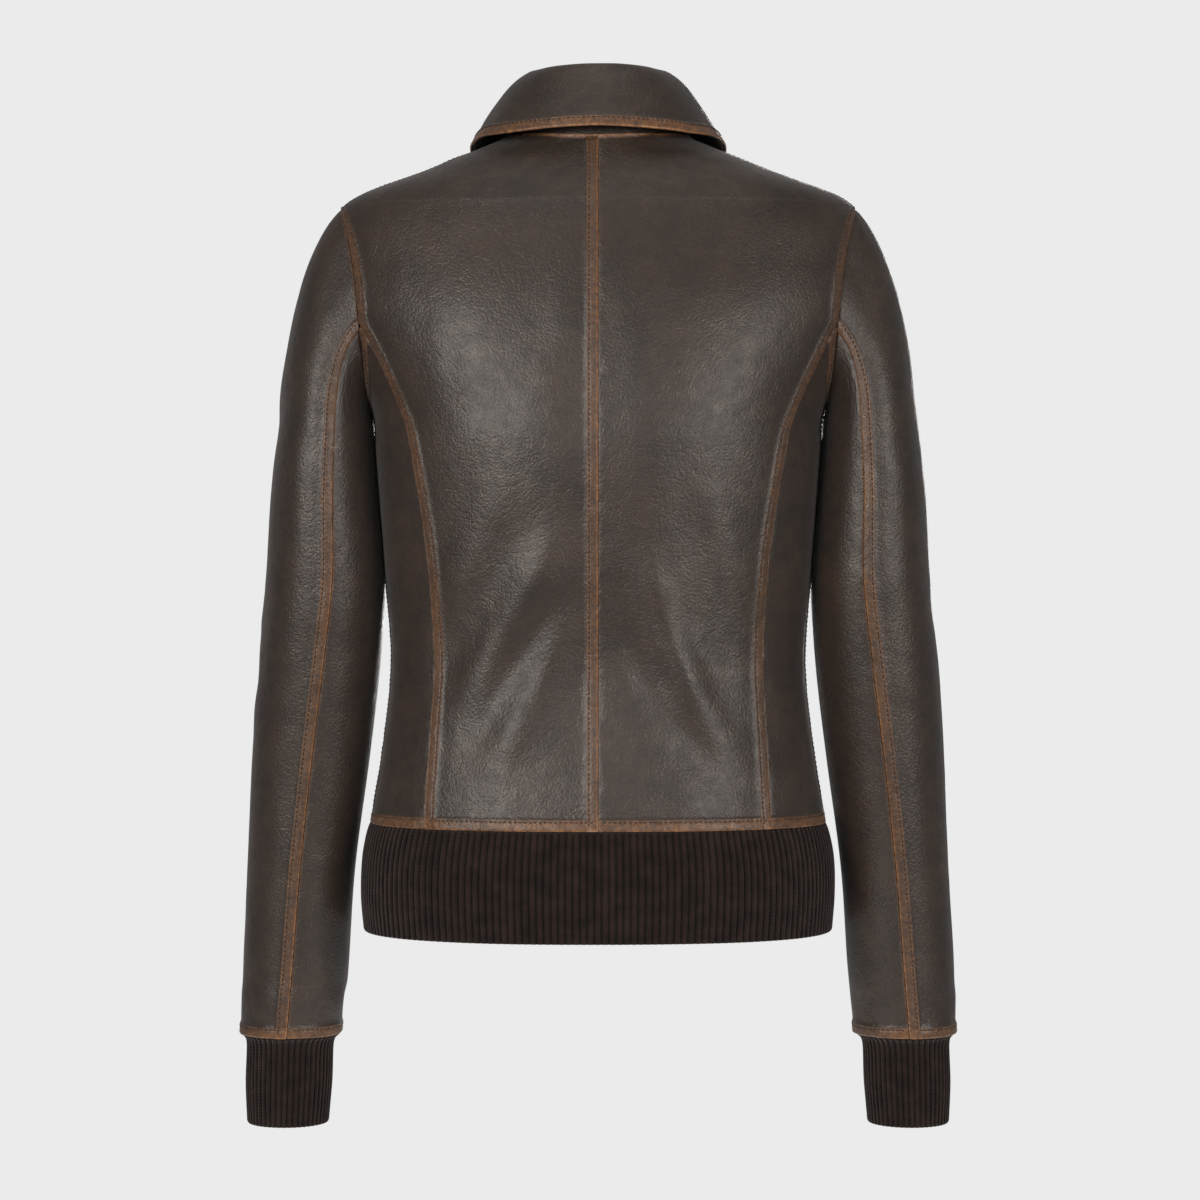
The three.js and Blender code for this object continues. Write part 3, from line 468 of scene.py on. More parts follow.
def ridge(x, z, start, end, half_width, height):
    """One soft fold, with the hollow that lies along its lower side."""
    ax, az = start
    bx, bz = end
    length = math.hypot(bx - ax, bz - az)
    along = ((x - ax) * (bx - ax) + (z - az) * (bz - az)) / length
    aside = ((x - ax) * (bz - az) - (z - az) * (bx - ax)) / length
    ends = smooth(-0.25 * length, 0.25 * length, along) * (1 - smooth(0.75 * length, 1.25 * length, along))
    crest = np.exp(-(aside / half_width) ** 2)
    hollow = 0.45 * np.exp(-((aside - 1.6 * half_width) / half_width) ** 2)
    return height * ends * (crest - hollow)


def body_folds(points):
    x, y, z = points[..., 0], points[..., 1], points[..., 2]
    back = 1 - smooth(-30, 0, y)
    front = smooth(0, 30, y)
    total = 0 * x
    for fold in BACK_FOLDS:
        total = total + back * ridge(x, z, *fold)
    for fold in FRONT_FOLDS:
        total = total + front * ridge(x, z, *fold)
    blades = np.exp(-(((np.abs(x) - 96) / 42) ** 2) - ((z + 150) / 62) ** 2)
    spine = np.exp(-((x / 26) ** 2)) * smooth(-470, -380, z) * (1 - smooth(-150, -70, z))
    total = total + back * (2.6 * blades - 1.6 * spine)
    blouse = np.exp(-(((z - HEM_Z - 26) / 20) ** 2))
    total = total + 1.3 * blouse * (0.6 + 0.7 * waves(points, (38, 38, 90), 11))
    total = total + 1.0 * waves(points, (70, 70, 110), 1) + 0.34 * waves(points, (21, 21, 34), 2)
    total = total + 0.1 * waves(points, (7, 7, 9), 3)
    under_arm = (1 - smooth(48, 74, np.abs(y))) * (1 - smooth(-185, -160, z)) * smooth(120, 140, np.abs(x))
    return total * (1 - 0.92 * under_arm) + 0.2 * under_arm


def sleeve_folds(points, angle):
    """The side that lies against the body stays flat, so that the arm can swing."""
    z = points[..., 2]
    elbow = np.exp(-(((z + 372) / 62) ** 2))
    armpit = np.exp(-(((z + 205) / 50) ** 2))
    wrist = np.exp(-(((z + 612) / 26) ** 2))
    slanted = points + np.stack([0 * z, 0 * z, 0.5 * points[..., 1]], -1)
    total = 0.8 * waves(points, (60, 60, 120), 21) + 0.4 * waves(points, (22, 22, 38), 22)
    total = total + elbow * 1.1 * waves(slanted, (60, 60, 24), 23)
    total = total + armpit * 1.2 * waves(slanted, (44, 44, 30), 24)
    total = total + wrist * 1.3 * waves(points, (30, 30, 22), 25) + 0.1 * waves(points, (7, 7, 9), 3)
    inner = smooth(0.62, 0.9, 0.5 - 0.5 * np.cos(angle)) * smooth(-620, -590, z)
    return total * (1 - 0.88 * inner) + 0.35 * inner * smooth(-345, -300, z)


# ---------------------------------------------------------------- meshes


def mesh_object(name, vertices, faces, attributes=None, uv=None):
    mesh = bpy.data.meshes.new(name)
    mesh.from_pydata(((np.asarray(vertices) + PATTERN) * MM).tolist(), [], faces)
    for label, values in (attributes or {}).items():
        attribute = mesh.attributes.new(label, "FLOAT", "POINT")
        attribute.data.foreach_set("value", np.asarray(values, np.float32))
    if uv is not None:
        layer = mesh.uv_layers.new(name="UVMap")
        corners = np.empty(len(mesh.loops), np.int32)
        mesh.loops.foreach_get("vertex_index", corners)
        layer.data.foreach_set("uv", np.asarray(uv, np.float32)[corners].ravel())
    mesh.polygons.foreach_set("use_smooth", [True] * len(mesh.polygons))
    mesh.update()
    piece = bpy.data.objects.new(name, mesh)
    bpy.context.scene.collection.objects.link(piece)
    return piece


def grid_faces(rows, columns, wrap=False):
    """Faces of a closed sheet: an outer grid, an inner grid after it, and the rim between them."""
    index = np.arange(rows * columns).reshape(rows, columns)
    if wrap:
        index = np.concatenate([index, index[:, :1]], axis=1)
    size = rows * columns
    a, b, c, d = index[:-1, :-1], index[:-1, 1:], index[1:, 1:], index[1:, :-1]
    faces = np.stack([a, b, c, d], -1).reshape(-1, 4).tolist()
    faces += (np.stack([a, d, c, b], -1).reshape(-1, 4) + size).tolist()

    def rim(line, reverse):
        for p, q in zip(line[:-1], line[1:]):
            face = [p + size, q + size, q, p]
            faces.append([int(i) for i in (face[::-1] if reverse else face)])

    rim(index[0], False)
    rim(index[-1], True)
    if not wrap:
        rim(index[:, 0], True)
        rim(index[:, -1], False)
    return faces


def sheet_object(name, points, directions, top, bottom, flip, attributes=None, uv=None, wrap=False):
    """A closed sheet between two heights over a grid of points."""
    rows, columns = points.shape[:2]
    outer = points + directions * np.asarray(top)[..., None]
    inner = points + directions * np.asarray(bottom)[..., None]
    vertices = np.concatenate([outer.reshape(-1, 3), inner.reshape(-1, 3)])
    faces = grid_faces(rows, columns, wrap)
    if flip:
        faces = [face[::-1] for face in faces]
    doubled = {k: np.concatenate([np.ravel(v), np.ravel(v)]) for k, v in (attributes or {}).items()}
    return mesh_object(name, vertices, faces, doubled, None if uv is None else np.concatenate([uv, uv]))


# ---------------------------------------------------------------- finishes


def hex_colour(code):
    parts = [int(code[i:i + 2], 16) / 255 for i in (1, 3, 5)]
    return tuple(p / 12.92 if p <= 0.04045 else ((p + 0.055) / 1.055) ** 2.4 for p in parts) + (1,)


def add(material, kind, inputs=None, stops=(), **settings):
    """Adds a shader node with its settings, its inputs as values or sockets, and any colour stops."""
    tree = material.node_tree
    node = tree.nodes.new("ShaderNode" + kind)
    for name, value in settings.items():
        setattr(node, name, value)
    for name, value in (inputs or {}).items():
        if isinstance(value, bpy.types.NodeSocket):
            tree.links.new(value, node.inputs[name])
        else:
            node.inputs[name].default_value = value
    for index, (place, code) in enumerate(stops):
        elements = node.color_ramp.elements
        element = elements[index] if index < 2 else elements.new(place)
        element.position = place
        element.color = hex_colour(code)
    return node


def blank(name):
    material = bpy.data.materials.new(name)
    material.use_nodes = True
    material.node_tree.nodes.clear()
    return material


def shade(material, colour, roughness, normal=None, **values):
    inputs = {"Base Color": colour, "Roughness": roughness}
    if normal is not None:
        inputs["Normal"] = normal
    inputs.update({name.replace("_", " "): value for name, value in values.items()})
    shader = add(material, "BsdfPrincipled", inputs)
    add(material, "OutputMaterial", {"Surface": shader.outputs["BSDF"]})
    return material


def metres_per(size_mm):
    """A pattern's scale for a feature of this size, in coordinates measured in metres."""
    return 1 / (size_mm * MM)


def where_on(material, by_uv):
    coordinates = add(material, "TexCoord")
    return coordinates.outputs["UV" if by_uv else "Object"]


def waxed_lambskin(name, tones, by_uv=True, rub_strength=1.0):
    """Drum-dyed lambskin, waxed and rubbed back by hand: a soft broken shine over clouded brown,
    fine pebbled grain, and tan hide showing where edges and seams have been rubbed."""
    m = blank(name)
    at = where_on(m, by_uv)
    clouds = add(m, "TexNoise", {"Vector": at, "Scale": metres_per(52), "Detail": 4.0, "Roughness": 0.62})
    blotches = add(m, "TexNoise", {"Vector": at, "Scale": metres_per(11), "Detail": 5.0, "Roughness": 0.66})
    # real lambskin grain is half this size; it is drawn coarse enough to show
    grain = add(m, "TexVoronoi", {"Vector": at, "Scale": metres_per(1.7), "Randomness": 1.0}, feature="F1")
    pores = add(m, "TexNoise", {"Vector": at, "Scale": metres_per(1.1), "Detail": 3.0, "Roughness": 0.7})
    creases = add(m, "TexVoronoi", {"Vector": at, "Scale": metres_per(7), "Randomness": 1.0},
                  feature="DISTANCE_TO_EDGE")
    both = add(m, "Math", {0: clouds.outputs["Fac"], 1: blotches.outputs["Fac"]}, operation="ADD")
    tone = add(m, "MapRange", {"Value": both.outputs[0], "From Min": 0.72, "From Max": 1.28})
    dyed = add(m, "ValToRGB", {"Fac": tone.outputs[0]}, stops=[(0, tones[0]), (1, tones[2]), (0.5, tones[1])])
    # Painted shade: the hide is darkened in the hollows between the grain's pebbles, where the bump below
    # lies lowest.
    grain_hollow_shade = add(m, "MapRange", {"Value": grain.outputs["Distance"], "From Min": 0.25, "From Max": 0.85,
                               "To Min": 1.0, "To Max": 0.72})
    speckled = add(m, "Mix", {0: 1.0, 6: dyed.outputs["Color"], 7: grain_hollow_shade.outputs[0]},
                   data_type="RGBA", blend_type="MULTIPLY")
    rub = add(m, "Attribute", attribute_name="rub")
    break_up = add(m, "TexNoise", {"Vector": at, "Scale": metres_per(4.2), "Detail": 6.0, "Roughness": 0.72})
    patches = add(m, "TexNoise", {"Vector": at, "Scale": metres_per(34), "Detail": 2.0})
    uneven = add(m, "Math", {0: break_up.outputs["Fac"], 1: patches.outputs["Fac"]}, operation="ADD")
    scuff = add(m, "MapRange", {"Value": uneven.outputs[0], "From Min": 0.66, "From Max": 1.12,
                                "To Min": 0.25, "To Max": 1.0})
    worn = add(m, "Math", {0: rub.outputs["Fac"], 1: scuff.outputs[0]}, operation="MULTIPLY")
    amount = add(m, "Math", {0: worn.outputs[0], 1: rub_strength}, operation="MULTIPLY")
    hide = add(m, "ValToRGB", {"Fac": break_up.outputs["Fac"]}, stops=[(0.3, "#5c3620"), (0.74, "#ad7846")])
    colour = add(m, "Mix", {0: amount.outputs[0], 6: speckled.outputs[2], 7: hide.outputs["Color"]},
                 data_type="RGBA")
    shine = add(m, "MapRange", {"Value": blotches.outputs["Fac"], "From Min": 0.3, "From Max": 0.7,
                                "To Min": 0.47, "To Max": 0.33})
    lines = add(m, "MapRange", {"Value": creases.outputs["Distance"], "From Min": 0.0, "From Max": 0.12})
    deep = add(m, "Bump", {"Height": lines.outputs[0], "Strength": 0.16, "Distance": 0.0004})
    pebbled = add(m, "Bump", {"Height": grain.outputs["Distance"], "Strength": 0.5, "Distance": 0.00035,
                              "Normal": deep.outputs["Normal"]}, invert=True)
    fine = add(m, "Bump", {"Height": pores.outputs["Fac"], "Strength": 0.42, "Distance": 0.0005,
                           "Normal": pebbled.outputs["Normal"]})
    return shade(m, colour.outputs[2], shine.outputs[0], fine.outputs["Normal"], Specular_IOR_Level=0.5,
                 Sheen_Weight=0.12, Sheen_Roughness=0.5)


def ribbed_wool(name, pitch):
    """Wool rib knit, two by two: matt, slightly hairy, with rows of looped stitches on each rib."""
    m = blank(name)
    at = where_on(m, True)
    split = add(m, "SeparateXYZ", {"Vector": at})
    across = add(m, "Math", {0: split.outputs["X"], 1: pitch * MM / 4}, operation="PINGPONG")
    slant = add(m, "Math", {0: across.outputs[0], 1: 1.1, 2: split.outputs["Y"]}, operation="MULTIPLY_ADD")
    # the stitches are 2.4 mm high, where the real ones are 1.7, so that they show
    turns = add(m, "Math", {0: slant.outputs[0], 1: 2 * math.pi / (2.4 * MM)}, operation="MULTIPLY")
    loops = add(m, "Math", {0: turns.outputs[0]}, operation="SINE")
    fuzz = add(m, "TexNoise", {"Vector": at, "Scale": metres_per(0.9), "Detail": 3.0})
    marl = add(m, "TexNoise", {"Vector": at, "Scale": metres_per(14), "Detail": 2.0, "Roughness": 0.5})
    height = add(m, "Math", {0: fuzz.outputs["Fac"], 1: 1.2, 2: loops.outputs[0]}, operation="MULTIPLY_ADD")
    # Painted light and shade: the colour is lighter on each rib's crest and darker in the valleys between
    # ribs, mixed with a random marl.
    rib = add(m, "Attribute", attribute_name="rib")
    depth = add(m, "Math", {0: rib.outputs["Fac"], 1: 0.55, 2: marl.outputs["Fac"]}, operation="MULTIPLY_ADD")
    tone = add(m, "MapRange", {"Value": depth.outputs[0], "From Min": 0.42, "From Max": 1.2})
    colour = add(m, "ValToRGB", {"Fac": tone.outputs[0]},
                 stops=[(0, "#060403"), (1, "#281c18"), (0.5, "#18100d")])
    bump = add(m, "Bump", {"Height": height.outputs[0], "Strength": 0.4, "Distance": 0.0004})
    return shade(m, colour.outputs["Color"], 0.95, bump.outputs["Normal"], Specular_IOR_Level=0.15,
                 Sheen_Weight=0.15, Sheen_Roughness=0.45)


def woven(name, dark, light, thread_mm, roughness, sheen, by_uv=False):
    """Close-woven cloth: fine diagonal threads, with painted shade darkening the gaps between them."""
    m = blank(name)
    at = where_on(m, by_uv)
    first = add(m, "TexWave", {"Vector": at, "Scale": metres_per(thread_mm) / 2 / math.pi, "Distortion": 0.6},
                wave_type="BANDS", bands_direction="DIAGONAL")
    cloud = add(m, "TexNoise", {"Vector": at, "Scale": metres_per(18), "Detail": 3.0})
    tone = add(m, "Math", {0: first.outputs["Fac"], 1: 0.5, 2: cloud.outputs["Fac"]},
               operation="MULTIPLY_ADD")
    # Painted shade: the low bands of the thread wave, the gaps between threads, take the dark colour.
    colour = add(m, "ValToRGB", {"Fac": tone.outputs[0]}, stops=[(0.3, dark), (0.95, light)])
    bump = add(m, "Bump", {"Height": first.outputs["Fac"], "Strength": 0.4, "Distance": 0.0003})
    return shade(m, colour.outputs["Color"], roughness, bump.outputs["Normal"], Sheen_Weight=sheen)


def aged_brass(name):
    """Die-cast zinc plated in antique brass, which is dull in the hollows and polished on the high spots;
    here warm dull and polished patches are spread at random.
    """
    m = blank(name)
    at = where_on(m, False)
    tarnish = add(m, "TexNoise", {"Vector": at, "Scale": metres_per(3), "Detail": 5.0, "Roughness": 0.65})
    colour = add(m, "ValToRGB", {"Fac": tarnish.outputs["Fac"]}, stops=[(0.32, "#3c342a"), (0.68, "#7d6d54")])
    dull = add(m, "MapRange", {"Value": tarnish.outputs["Fac"], "From Min": 0.3, "From Max": 0.7,
                               "To Min": 0.55, "To Max": 0.36})
    scratches = add(m, "TexNoise", {"Vector": at, "Scale": metres_per(0.8), "Detail": 2.0})
    bump = add(m, "Bump", {"Height": scratches.outputs["Fac"], "Strength": 0.12, "Distance": 0.0002})
    return shade(m, colour.outputs["Color"], dull.outputs[0], bump.outputs["Normal"], Metallic=1.0)


def bonded_thread(name):
    """Bonded nylon sewing thread: a low sheen and a twist too fine to see as more than a flicker."""
    m = blank(name)
    at = where_on(m, False)
    twist = add(m, "TexNoise", {"Vector": at, "Scale": metres_per(0.7), "Detail": 2.0})
    colour = add(m, "ValToRGB", {"Fac": twist.outputs["Fac"]}, stops=[(0.3, "#120c08"), (0.7, "#2a1c13")])
    return shade(m, colour.outputs["Color"], 0.5)


HIDE_TONES = ("#1e140e", "#2b1f17", "#382a20")
leather = waxed_lambskin("waxed_lambskin", HIDE_TONES)
cut_leather = waxed_lambskin("waxed_lambskin_small_pieces", HIDE_TONES, by_uv=False)
thread = bonded_thread("bonded_nylon_thread")
BAND_PITCH, CUFF_PITCH = 5.0, 4.2
waistband_wool = ribbed_wool("ribbed_wool_waistband", BAND_PITCH)
cuff_wool = ribbed_wool("ribbed_wool_cuff", CUFF_PITCH)
satin = woven("twill_satin_lining", "#1d1613", "#3a2d26", 0.9, 0.36, 0.1, by_uv=True)
tape_cloth = woven("woven_polyester_tape", "#12100f", "#2b2522", 1.0, 0.8, 0.2)
bag_cloth = woven("plain_cotton_pocketing", "#2a2320", "#4a403a", 0.8, 0.85, 0.1)
brass = aged_brass("antique_brass_plated_zinc")


# ---------------------------------------------------------------- stitches and panels

STITCH_PITCH = 3.5
STITCH_LENGTH = 2.7
STITCH_RADIUS = 0.44


def stitch_row(line, up):
    """Short thread loops along a line that lies on the leather."""
    run = np.concatenate([[0], np.cumsum(np.linalg.norm(np.diff(line, axis=0), axis=1))])
    places = np.arange(STITCH_PITCH, run[-1] - STITCH_PITCH, STITCH_PITCH)
    half = STITCH_LENGTH / 2
    near, far = (
        np.stack([np.interp(places + shift, run, line[:, k]) for k in range(3)], -1)
        for shift in (-half, half)
    )
    lift = np.stack([np.interp(places, run, up[:, k]) for k in range(3)], -1)
    lift /= np.linalg.norm(lift, axis=1, keepdims=True)
    middle = (near + far) / 2
    forward = (far - near) / 2
    aside = np.cross(lift, forward)
    aside /= np.linalg.norm(aside, axis=1, keepdims=True)
    rings = [(-1, 0.25, -0.28), (-0.62, 0.95, 0.12), (0, 1, 0.3), (0.62, 0.95, 0.12), (1, 0.25, -0.28)]
    turns = np.arange(5) * 2 * math.pi / 5
    sections = []
    for s, size, height in rings:
        centre = middle + forward * s + lift * height
        for turn in turns:
            spoke = aside * math.cos(turn) + lift * math.sin(turn)
            sections.append(centre + STITCH_RADIUS * size * spoke)
    vertices = np.stack(sections, axis=1)
    loop = [[0, 1, 2, 3, 4], [24, 23, 22, 21, 20]]
    for ring in range(4):
        for k in range(5):
            low, high = ring * 5 + k, ring * 5 + (k + 1) % 5
            loop.append([low, low + 5, high + 5, high])
    faces = [[i + n * 25 for i in face] for n in range(len(places)) for face in loop]
    return vertices.reshape(-1, 3), faces


class Sewing:
    """Gathers all stitch rows of one body of the jacket into one piece."""

    def __init__(self):
        self.vertices, self.faces, self.count = [], [], 0

    def add(self, line, up):
        vertices, faces = stitch_row(line, up)
        self.faces += [[i + self.count for i in face] for face in faces]
        self.vertices.append(vertices)
        self.count += len(vertices)

    def make(self, name):
        piece = mesh_object(name, np.concatenate(self.vertices), self.faces)
        piece.data.materials.append(thread)
        return piece


def stitch_lines(outer, bands):
    rows, columns = outer.shape[:2]
    lines = {
        "start": (slice(3, rows - 3), STITCH_COLUMN),
        "stop": (slice(3, rows - 3), columns - 1 - STITCH_COLUMN),
        "bottom": (STITCH_COLUMN, slice(3, columns - 3)),
        "top": (rows - 1 - STITCH_COLUMN, slice(3, columns - 3)),
    }
    return [lines[side] for side, kind in bands.items() if kind == "raised" and side in lines]


def relief(cut, bands):
    """How far the sewn edges lift or draw in the leather, and how much they are rubbed."""
    lift, dip, rub = 0, 0, 0
    for side, kind in bands.items():
        d = cut.distance(side)
        if kind == "raised":
            lift = np.maximum(lift, raised(d))
            dip = np.minimum(dip, stitch_dip(d))
            rub = np.maximum(rub, rub_raised(d, 0.4 if side in ("bottom", "top") else 0.22))
        elif kind == "ridge":
            lift = np.maximum(lift, 1.3 * np.exp(-((d / 1.5) ** 2)))
            rub = np.maximum(rub, 1.2 * np.exp(-((d / 1.7) ** 2)))
        else:
            dip = np.minimum(dip, sunk(d))
            rub = np.maximum(rub, rub_sunk(d))
        dip = dip + pucker(cut.points, d)
    return lift + dip, rub


def finish_piece(piece, slot, material, body, *nodes):
    piece.data.materials.append(material)
    if nodes:
        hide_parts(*nodes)
    if body:
        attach(piece, body)
    return piece


panel_count = 0


def panel_uv(cut):
    """The panel laid flat, in metres, each panel cut from another place of the hide."""
    global panel_count
    panel_count += 1
    u = cut.from_start - cut.from_start[:, -1:] / 2
    v = cut.from_bottom[:, cut.from_bottom.shape[1] // 2][:, None] + 0 * u
    return np.stack([u.ravel() * MM + 0.61 * panel_count, v.ravel() * MM + 0.37 * panel_count], -1)


def leather_panel(name, cut, heights, bands, sewing, flip, top=0.0, thickness=LEATHER):
    lift, rub = relief(cut, bands)
    height = heights + lift + top
    outer = cut.points + cut.normals * height[..., None]
    for where in stitch_lines(outer, bands):
        sewing.add(outer[where], cut.normals[where])
    return sheet_object(name, cut.points, cut.normals, height, height - thickness, flip, {"rub": rub},
                        panel_uv(cut))


# ---------------------------------------------------------------- body panels

EASE = 0.0011  # half the gap between two panels, as an angle round the body
ZIP_EDGE, FACING_EDGE = 8, 44
SIDES = ("right", "left")
body_sewing = Sewing()

back_centre = Cut(body_point, 0, NECK, lambda v: 0 * v - math.pi / 2,
                  lambda v: -centre_panel_side(v) - EASE, kinks=(CROSS, SHOULDER))
back_side = Cut(body_point, 0, SIDE_PANEL_TOP, lambda v: -princess_angle(v) + EASE,
                lambda v: -armhole_angle(v) - EASE)
front_side = Cut(body_point, 0, SIDE_PANEL_TOP, lambda v: armhole_angle(v) + EASE,
                 lambda v: princess_angle(v) - EASE)
front_centre = Cut(body_point, 0, NECK, lambda v: centre_panel_side(v) + EASE,
                   lambda v: angle_at(BODY, ZIP_EDGE, v), kinks=(CROSS, SHOULDER))

for side in SIDES:
    flip = side == "left"
    for name, cut, bands in (
        ("back_panel", back_centre,
         {"start": "raised" if flip else "sunk", "stop": "raised", "bottom": "raised", "top": "ridge"}),
        ("side_back_panel", back_side, {"start": "sunk", "stop": "raised", "bottom": "raised"}),
        ("side_front_panel", front_side, {"start": "sunk", "stop": "sunk", "bottom": "raised"}),
        ("front_panel", front_centre,
         {"start": "raised", "stop": "raised", "bottom": "raised", "top": "sunk"}),
    ):
        mine = cut.mirrored() if flip else cut
        heights = body_folds(mine.points)
        piece = leather_panel(f"{name}_leather_{side}", mine, heights, bands, body_sewing, flip)
        finish_piece(piece, "leather", leather, "body", f"{name}_{side}")

# ---------------------------------------------------------------- linings and facings

LINING_DEPTH, FACING_DEPTH = 3.0, 2.7
LINING_EASE = 0.004


def under_layer(name, cut, flip, depth, thickness, slot, material, node):
    height = body_folds(cut.points) - depth
    rub = {"rub": 0.25 * rub_raised(cut.from_stop)} if slot == "leather" else None
    piece = sheet_object(name, cut.points, cut.normals, height, height - thickness, flip, rub, panel_uv(cut))
    finish_piece(piece, slot, material, "body", node)


def facing_edge(v):
    return angle_at(BODY, FACING_EDGE, v)


back_lining = Cut(body_point, 0.05, NECK - 1.04, lambda v: 0 * v - math.pi / 2 + EASE,
                  lambda v: -armhole_angle(v) - LINING_EASE, step=5, kinks=(ARMPIT, SHOULDER))
front_lining = Cut(body_point, 0.05, NECK - 1.04, lambda v: armhole_angle(v) + LINING_EASE,
                   lambda v: facing_edge(v) - EASE, step=5, kinks=(ARMPIT, SHOULDER))
front_facing = Cut(body_point, 0.02, NECK - 0.02, lambda v: facing_edge(v) + EASE,
                   lambda v: angle_at(BODY, ZIP_EDGE + 0.6, v), step=4)
for side in SIDES:
    flip = side == "left"
    for name, cut, depth, thickness, slot, material in (
        ("back_lining", back_lining, LINING_DEPTH, LINING, "lining", satin),
        ("front_lining", front_lining, LINING_DEPTH, LINING, "lining", satin),
        ("front_facing", front_facing, FACING_DEPTH, LEATHER, "leather", leather),
    ):
        mine = cut.mirrored() if flip else cut
        piece_name, node = f"{name}_cloth_{side}", f"{name}_{side}"
        under_layer(piece_name, mine, flip, depth, thickness, slot, material, node)


# ---------------------------------------------------------------- sleeves

sleeve_sewing = {side: Sewing() for side in SIDES}
SLEEVE_EASE = 0.0025
SLEEVE_LINING_DEPTH = 2.2
sleeve_outer = Cut(sleeve_point, 0, 8, lambda t: front_seam(t) - 2 * math.pi + SLEEVE_EASE,
                   lambda t: back_seam(t) - SLEEVE_EASE, kinks=(1,))
sleeve_under = Cut(sleeve_point, 0, 8, lambda t: back_seam(t) + SLEEVE_EASE,
                   lambda t: front_seam(t) - SLEEVE_EASE, kinks=(1,))
sleeve_lining = Cut(sleeve_point, 0.12, 7.97, lambda t: 0 * t, lambda t: 0 * t + 2 * math.pi,
                    step=6, kinks=(1,))


def lies_on_arm(piece, side, *nodes):
    """Hides the frame's parts that the piece stands in for and bakes the piece's placement into its mesh."""
    if nodes:
        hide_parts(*nodes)
    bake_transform(piece)


for side in SIDES:
    flip = side == "left"
    for name, cut, bands in (
        ("sleeve_outer", sleeve_outer,
         {"start": "sunk", "stop": "raised", "bottom": "sunk", "top": "raised"}),
        ("sleeve_under", sleeve_under,
         {"start": "sunk", "stop": "sunk", "bottom": "sunk", "top": "raised"}),
    ):
        mine = cut.mirrored() if flip else cut
        heights = sleeve_folds(mine.points, mine.u)
        piece = leather_panel(f"{name}_leather_{side}", mine, heights, bands, sleeve_sewing[side], flip)
        finish_piece(piece, "leather", leather, None)
        lies_on_arm(piece, side, f"{name}_panel_{side}", f"{name}_head_{side}")
    mine = sleeve_lining.mirrored() if flip else sleeve_lining
    height = sleeve_folds(mine.points, mine.u) - SLEEVE_LINING_DEPTH
    piece = sheet_object(f"sleeve_lining_cloth_{side}", mine.points, mine.normals, height, height - LINING,
                         flip, None, panel_uv(mine))
    finish_piece(piece, "lining", satin, None)
    lies_on_arm(piece, side, f"sleeve_lining_{side}", f"sleeve_head_lining_{side}")
    lies_on_arm(sleeve_sewing[side].make("sleeve_stitches_" + side), side)

# ---------------------------------------------------------------- collar

FALL_TOP = 2.5  # outer face of the collar, above the line that the fall is drawn on


def section(points, v):
    """A smooth section through stacked control points, numbered from 0."""
    stack = np.stack(points)
    last = len(points) - 1
    i = np.clip(np.floor(v), 0, last - 1).astype(int)

    def pick(k):
        return np.take_along_axis(stack, np.clip(k, 0, last)[None, ..., None], axis=0)[0]

    f = (v - i)[..., None]
    a, b, c, d = pick(i - 1), pick(i), pick(i + 1), pick(i + 2)
    return b + 0.5 * f * (c - a + f * (2 * a - 5 * b + 4 * c - d + f * (3 * (b - c) + d - a)))


def collar_surface(t, v):
    """From the free edge (0) up the fall and over the roll to the top of the stand's inside."""
    t, v = np.broadcast_arrays(np.asarray(t, float), np.asarray(v, float))
    points = []
    for w in (1.0, 0.8, 0.6, 0.42, 0.27, 0.14):
        points.append(fall_point(t, 0 * t + w) - normals(fall_point, t, 0 * t + w) * FALL_TOP)
    outward = normals(stand_point, t, 0 * t + 0.9)
    up = np.array([0, 0, 1.0])
    fold = stand_point(t, 0 * t + 1)
    points.append(fold + up * 3.0 - outward * 0.2)
    points.append(fold + up * 0.9 - outward * 3.2)
    points.append(stand_point(t, 0 * t + 0.9) - outward * 3.9)
    points.append(stand_point(t, 0 * t + 0.72) - outward * 3.8)
    return section(points, v)


collar = Cut(collar_surface, 0, 9, lambda v: 0 * v - 0.995, lambda v: 0 * v + 0.995, step=2.4)
collar_lie = 0.7 * waves(collar.points, (46, 46, 30), 31) + 0.3 * waves(collar.points, (17, 17, 14), 32)
collar_bands = {"bottom": "raised", "start": "raised", "stop": "raised"}
piece = leather_panel("collar_fall_leather", collar, collar_lie, collar_bands, body_sewing, False)
finish_piece(piece, "leather", leather, "body", "collar_fall")


def under_collar_surface(t, v):
    return fall_point(t, 0.985 - 0.8 * v)


def plain_leather(node, surface, rows, low, high, height, thickness, step=4.0):
    """An unseamed piece of leather over the whole of a surface between two of its rows."""
    cut = Cut(surface, *rows, lambda v: 0 * v + low, lambda v: 0 * v + high, step=step)
    top = 0 * cut.u + height
    piece = sheet_object(node + "_leather", cut.points, cut.normals, top, top - thickness, False,
                         {"rub": 0 * cut.u}, panel_uv(cut))
    finish_piece(piece, "leather", leather, "body", node)
    return piece, cut


under_collar = plain_leather("under_collar", under_collar_surface, (0, 1), -0.985, 0.985, 1.0, 1.0)
collar_stand = plain_leather("collar_stand", stand_point, (0, 0.93), -0.99, 0.99, -0.1, 2.2)
neck_facing = plain_leather("back_neck_facing", body_point, (9.02, 9.98), -math.pi + 0.01, -0.01,
                            -FACING_DEPTH, LEATHER)

# ---------------------------------------------------------------- hanger loop

LOOP_HALF_SPAN, LOOP_REACH, LOOP_WIDTH, LOOP_RISE, LOOP_THICKNESS = 30, 11, 7, 9, 1.4
LOOP_LEVEL = 9.55
loop_end = body_point(-angle_at(BODY, LOOP_HALF_SPAN, np.array(LOOP_LEVEL)), np.array(LOOP_LEVEL))
loop_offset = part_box("hanger_loop")[1][2] / MM - PATTERN[2] - (loop_end[2] + LOOP_RISE + LOOP_WIDTH / 2)


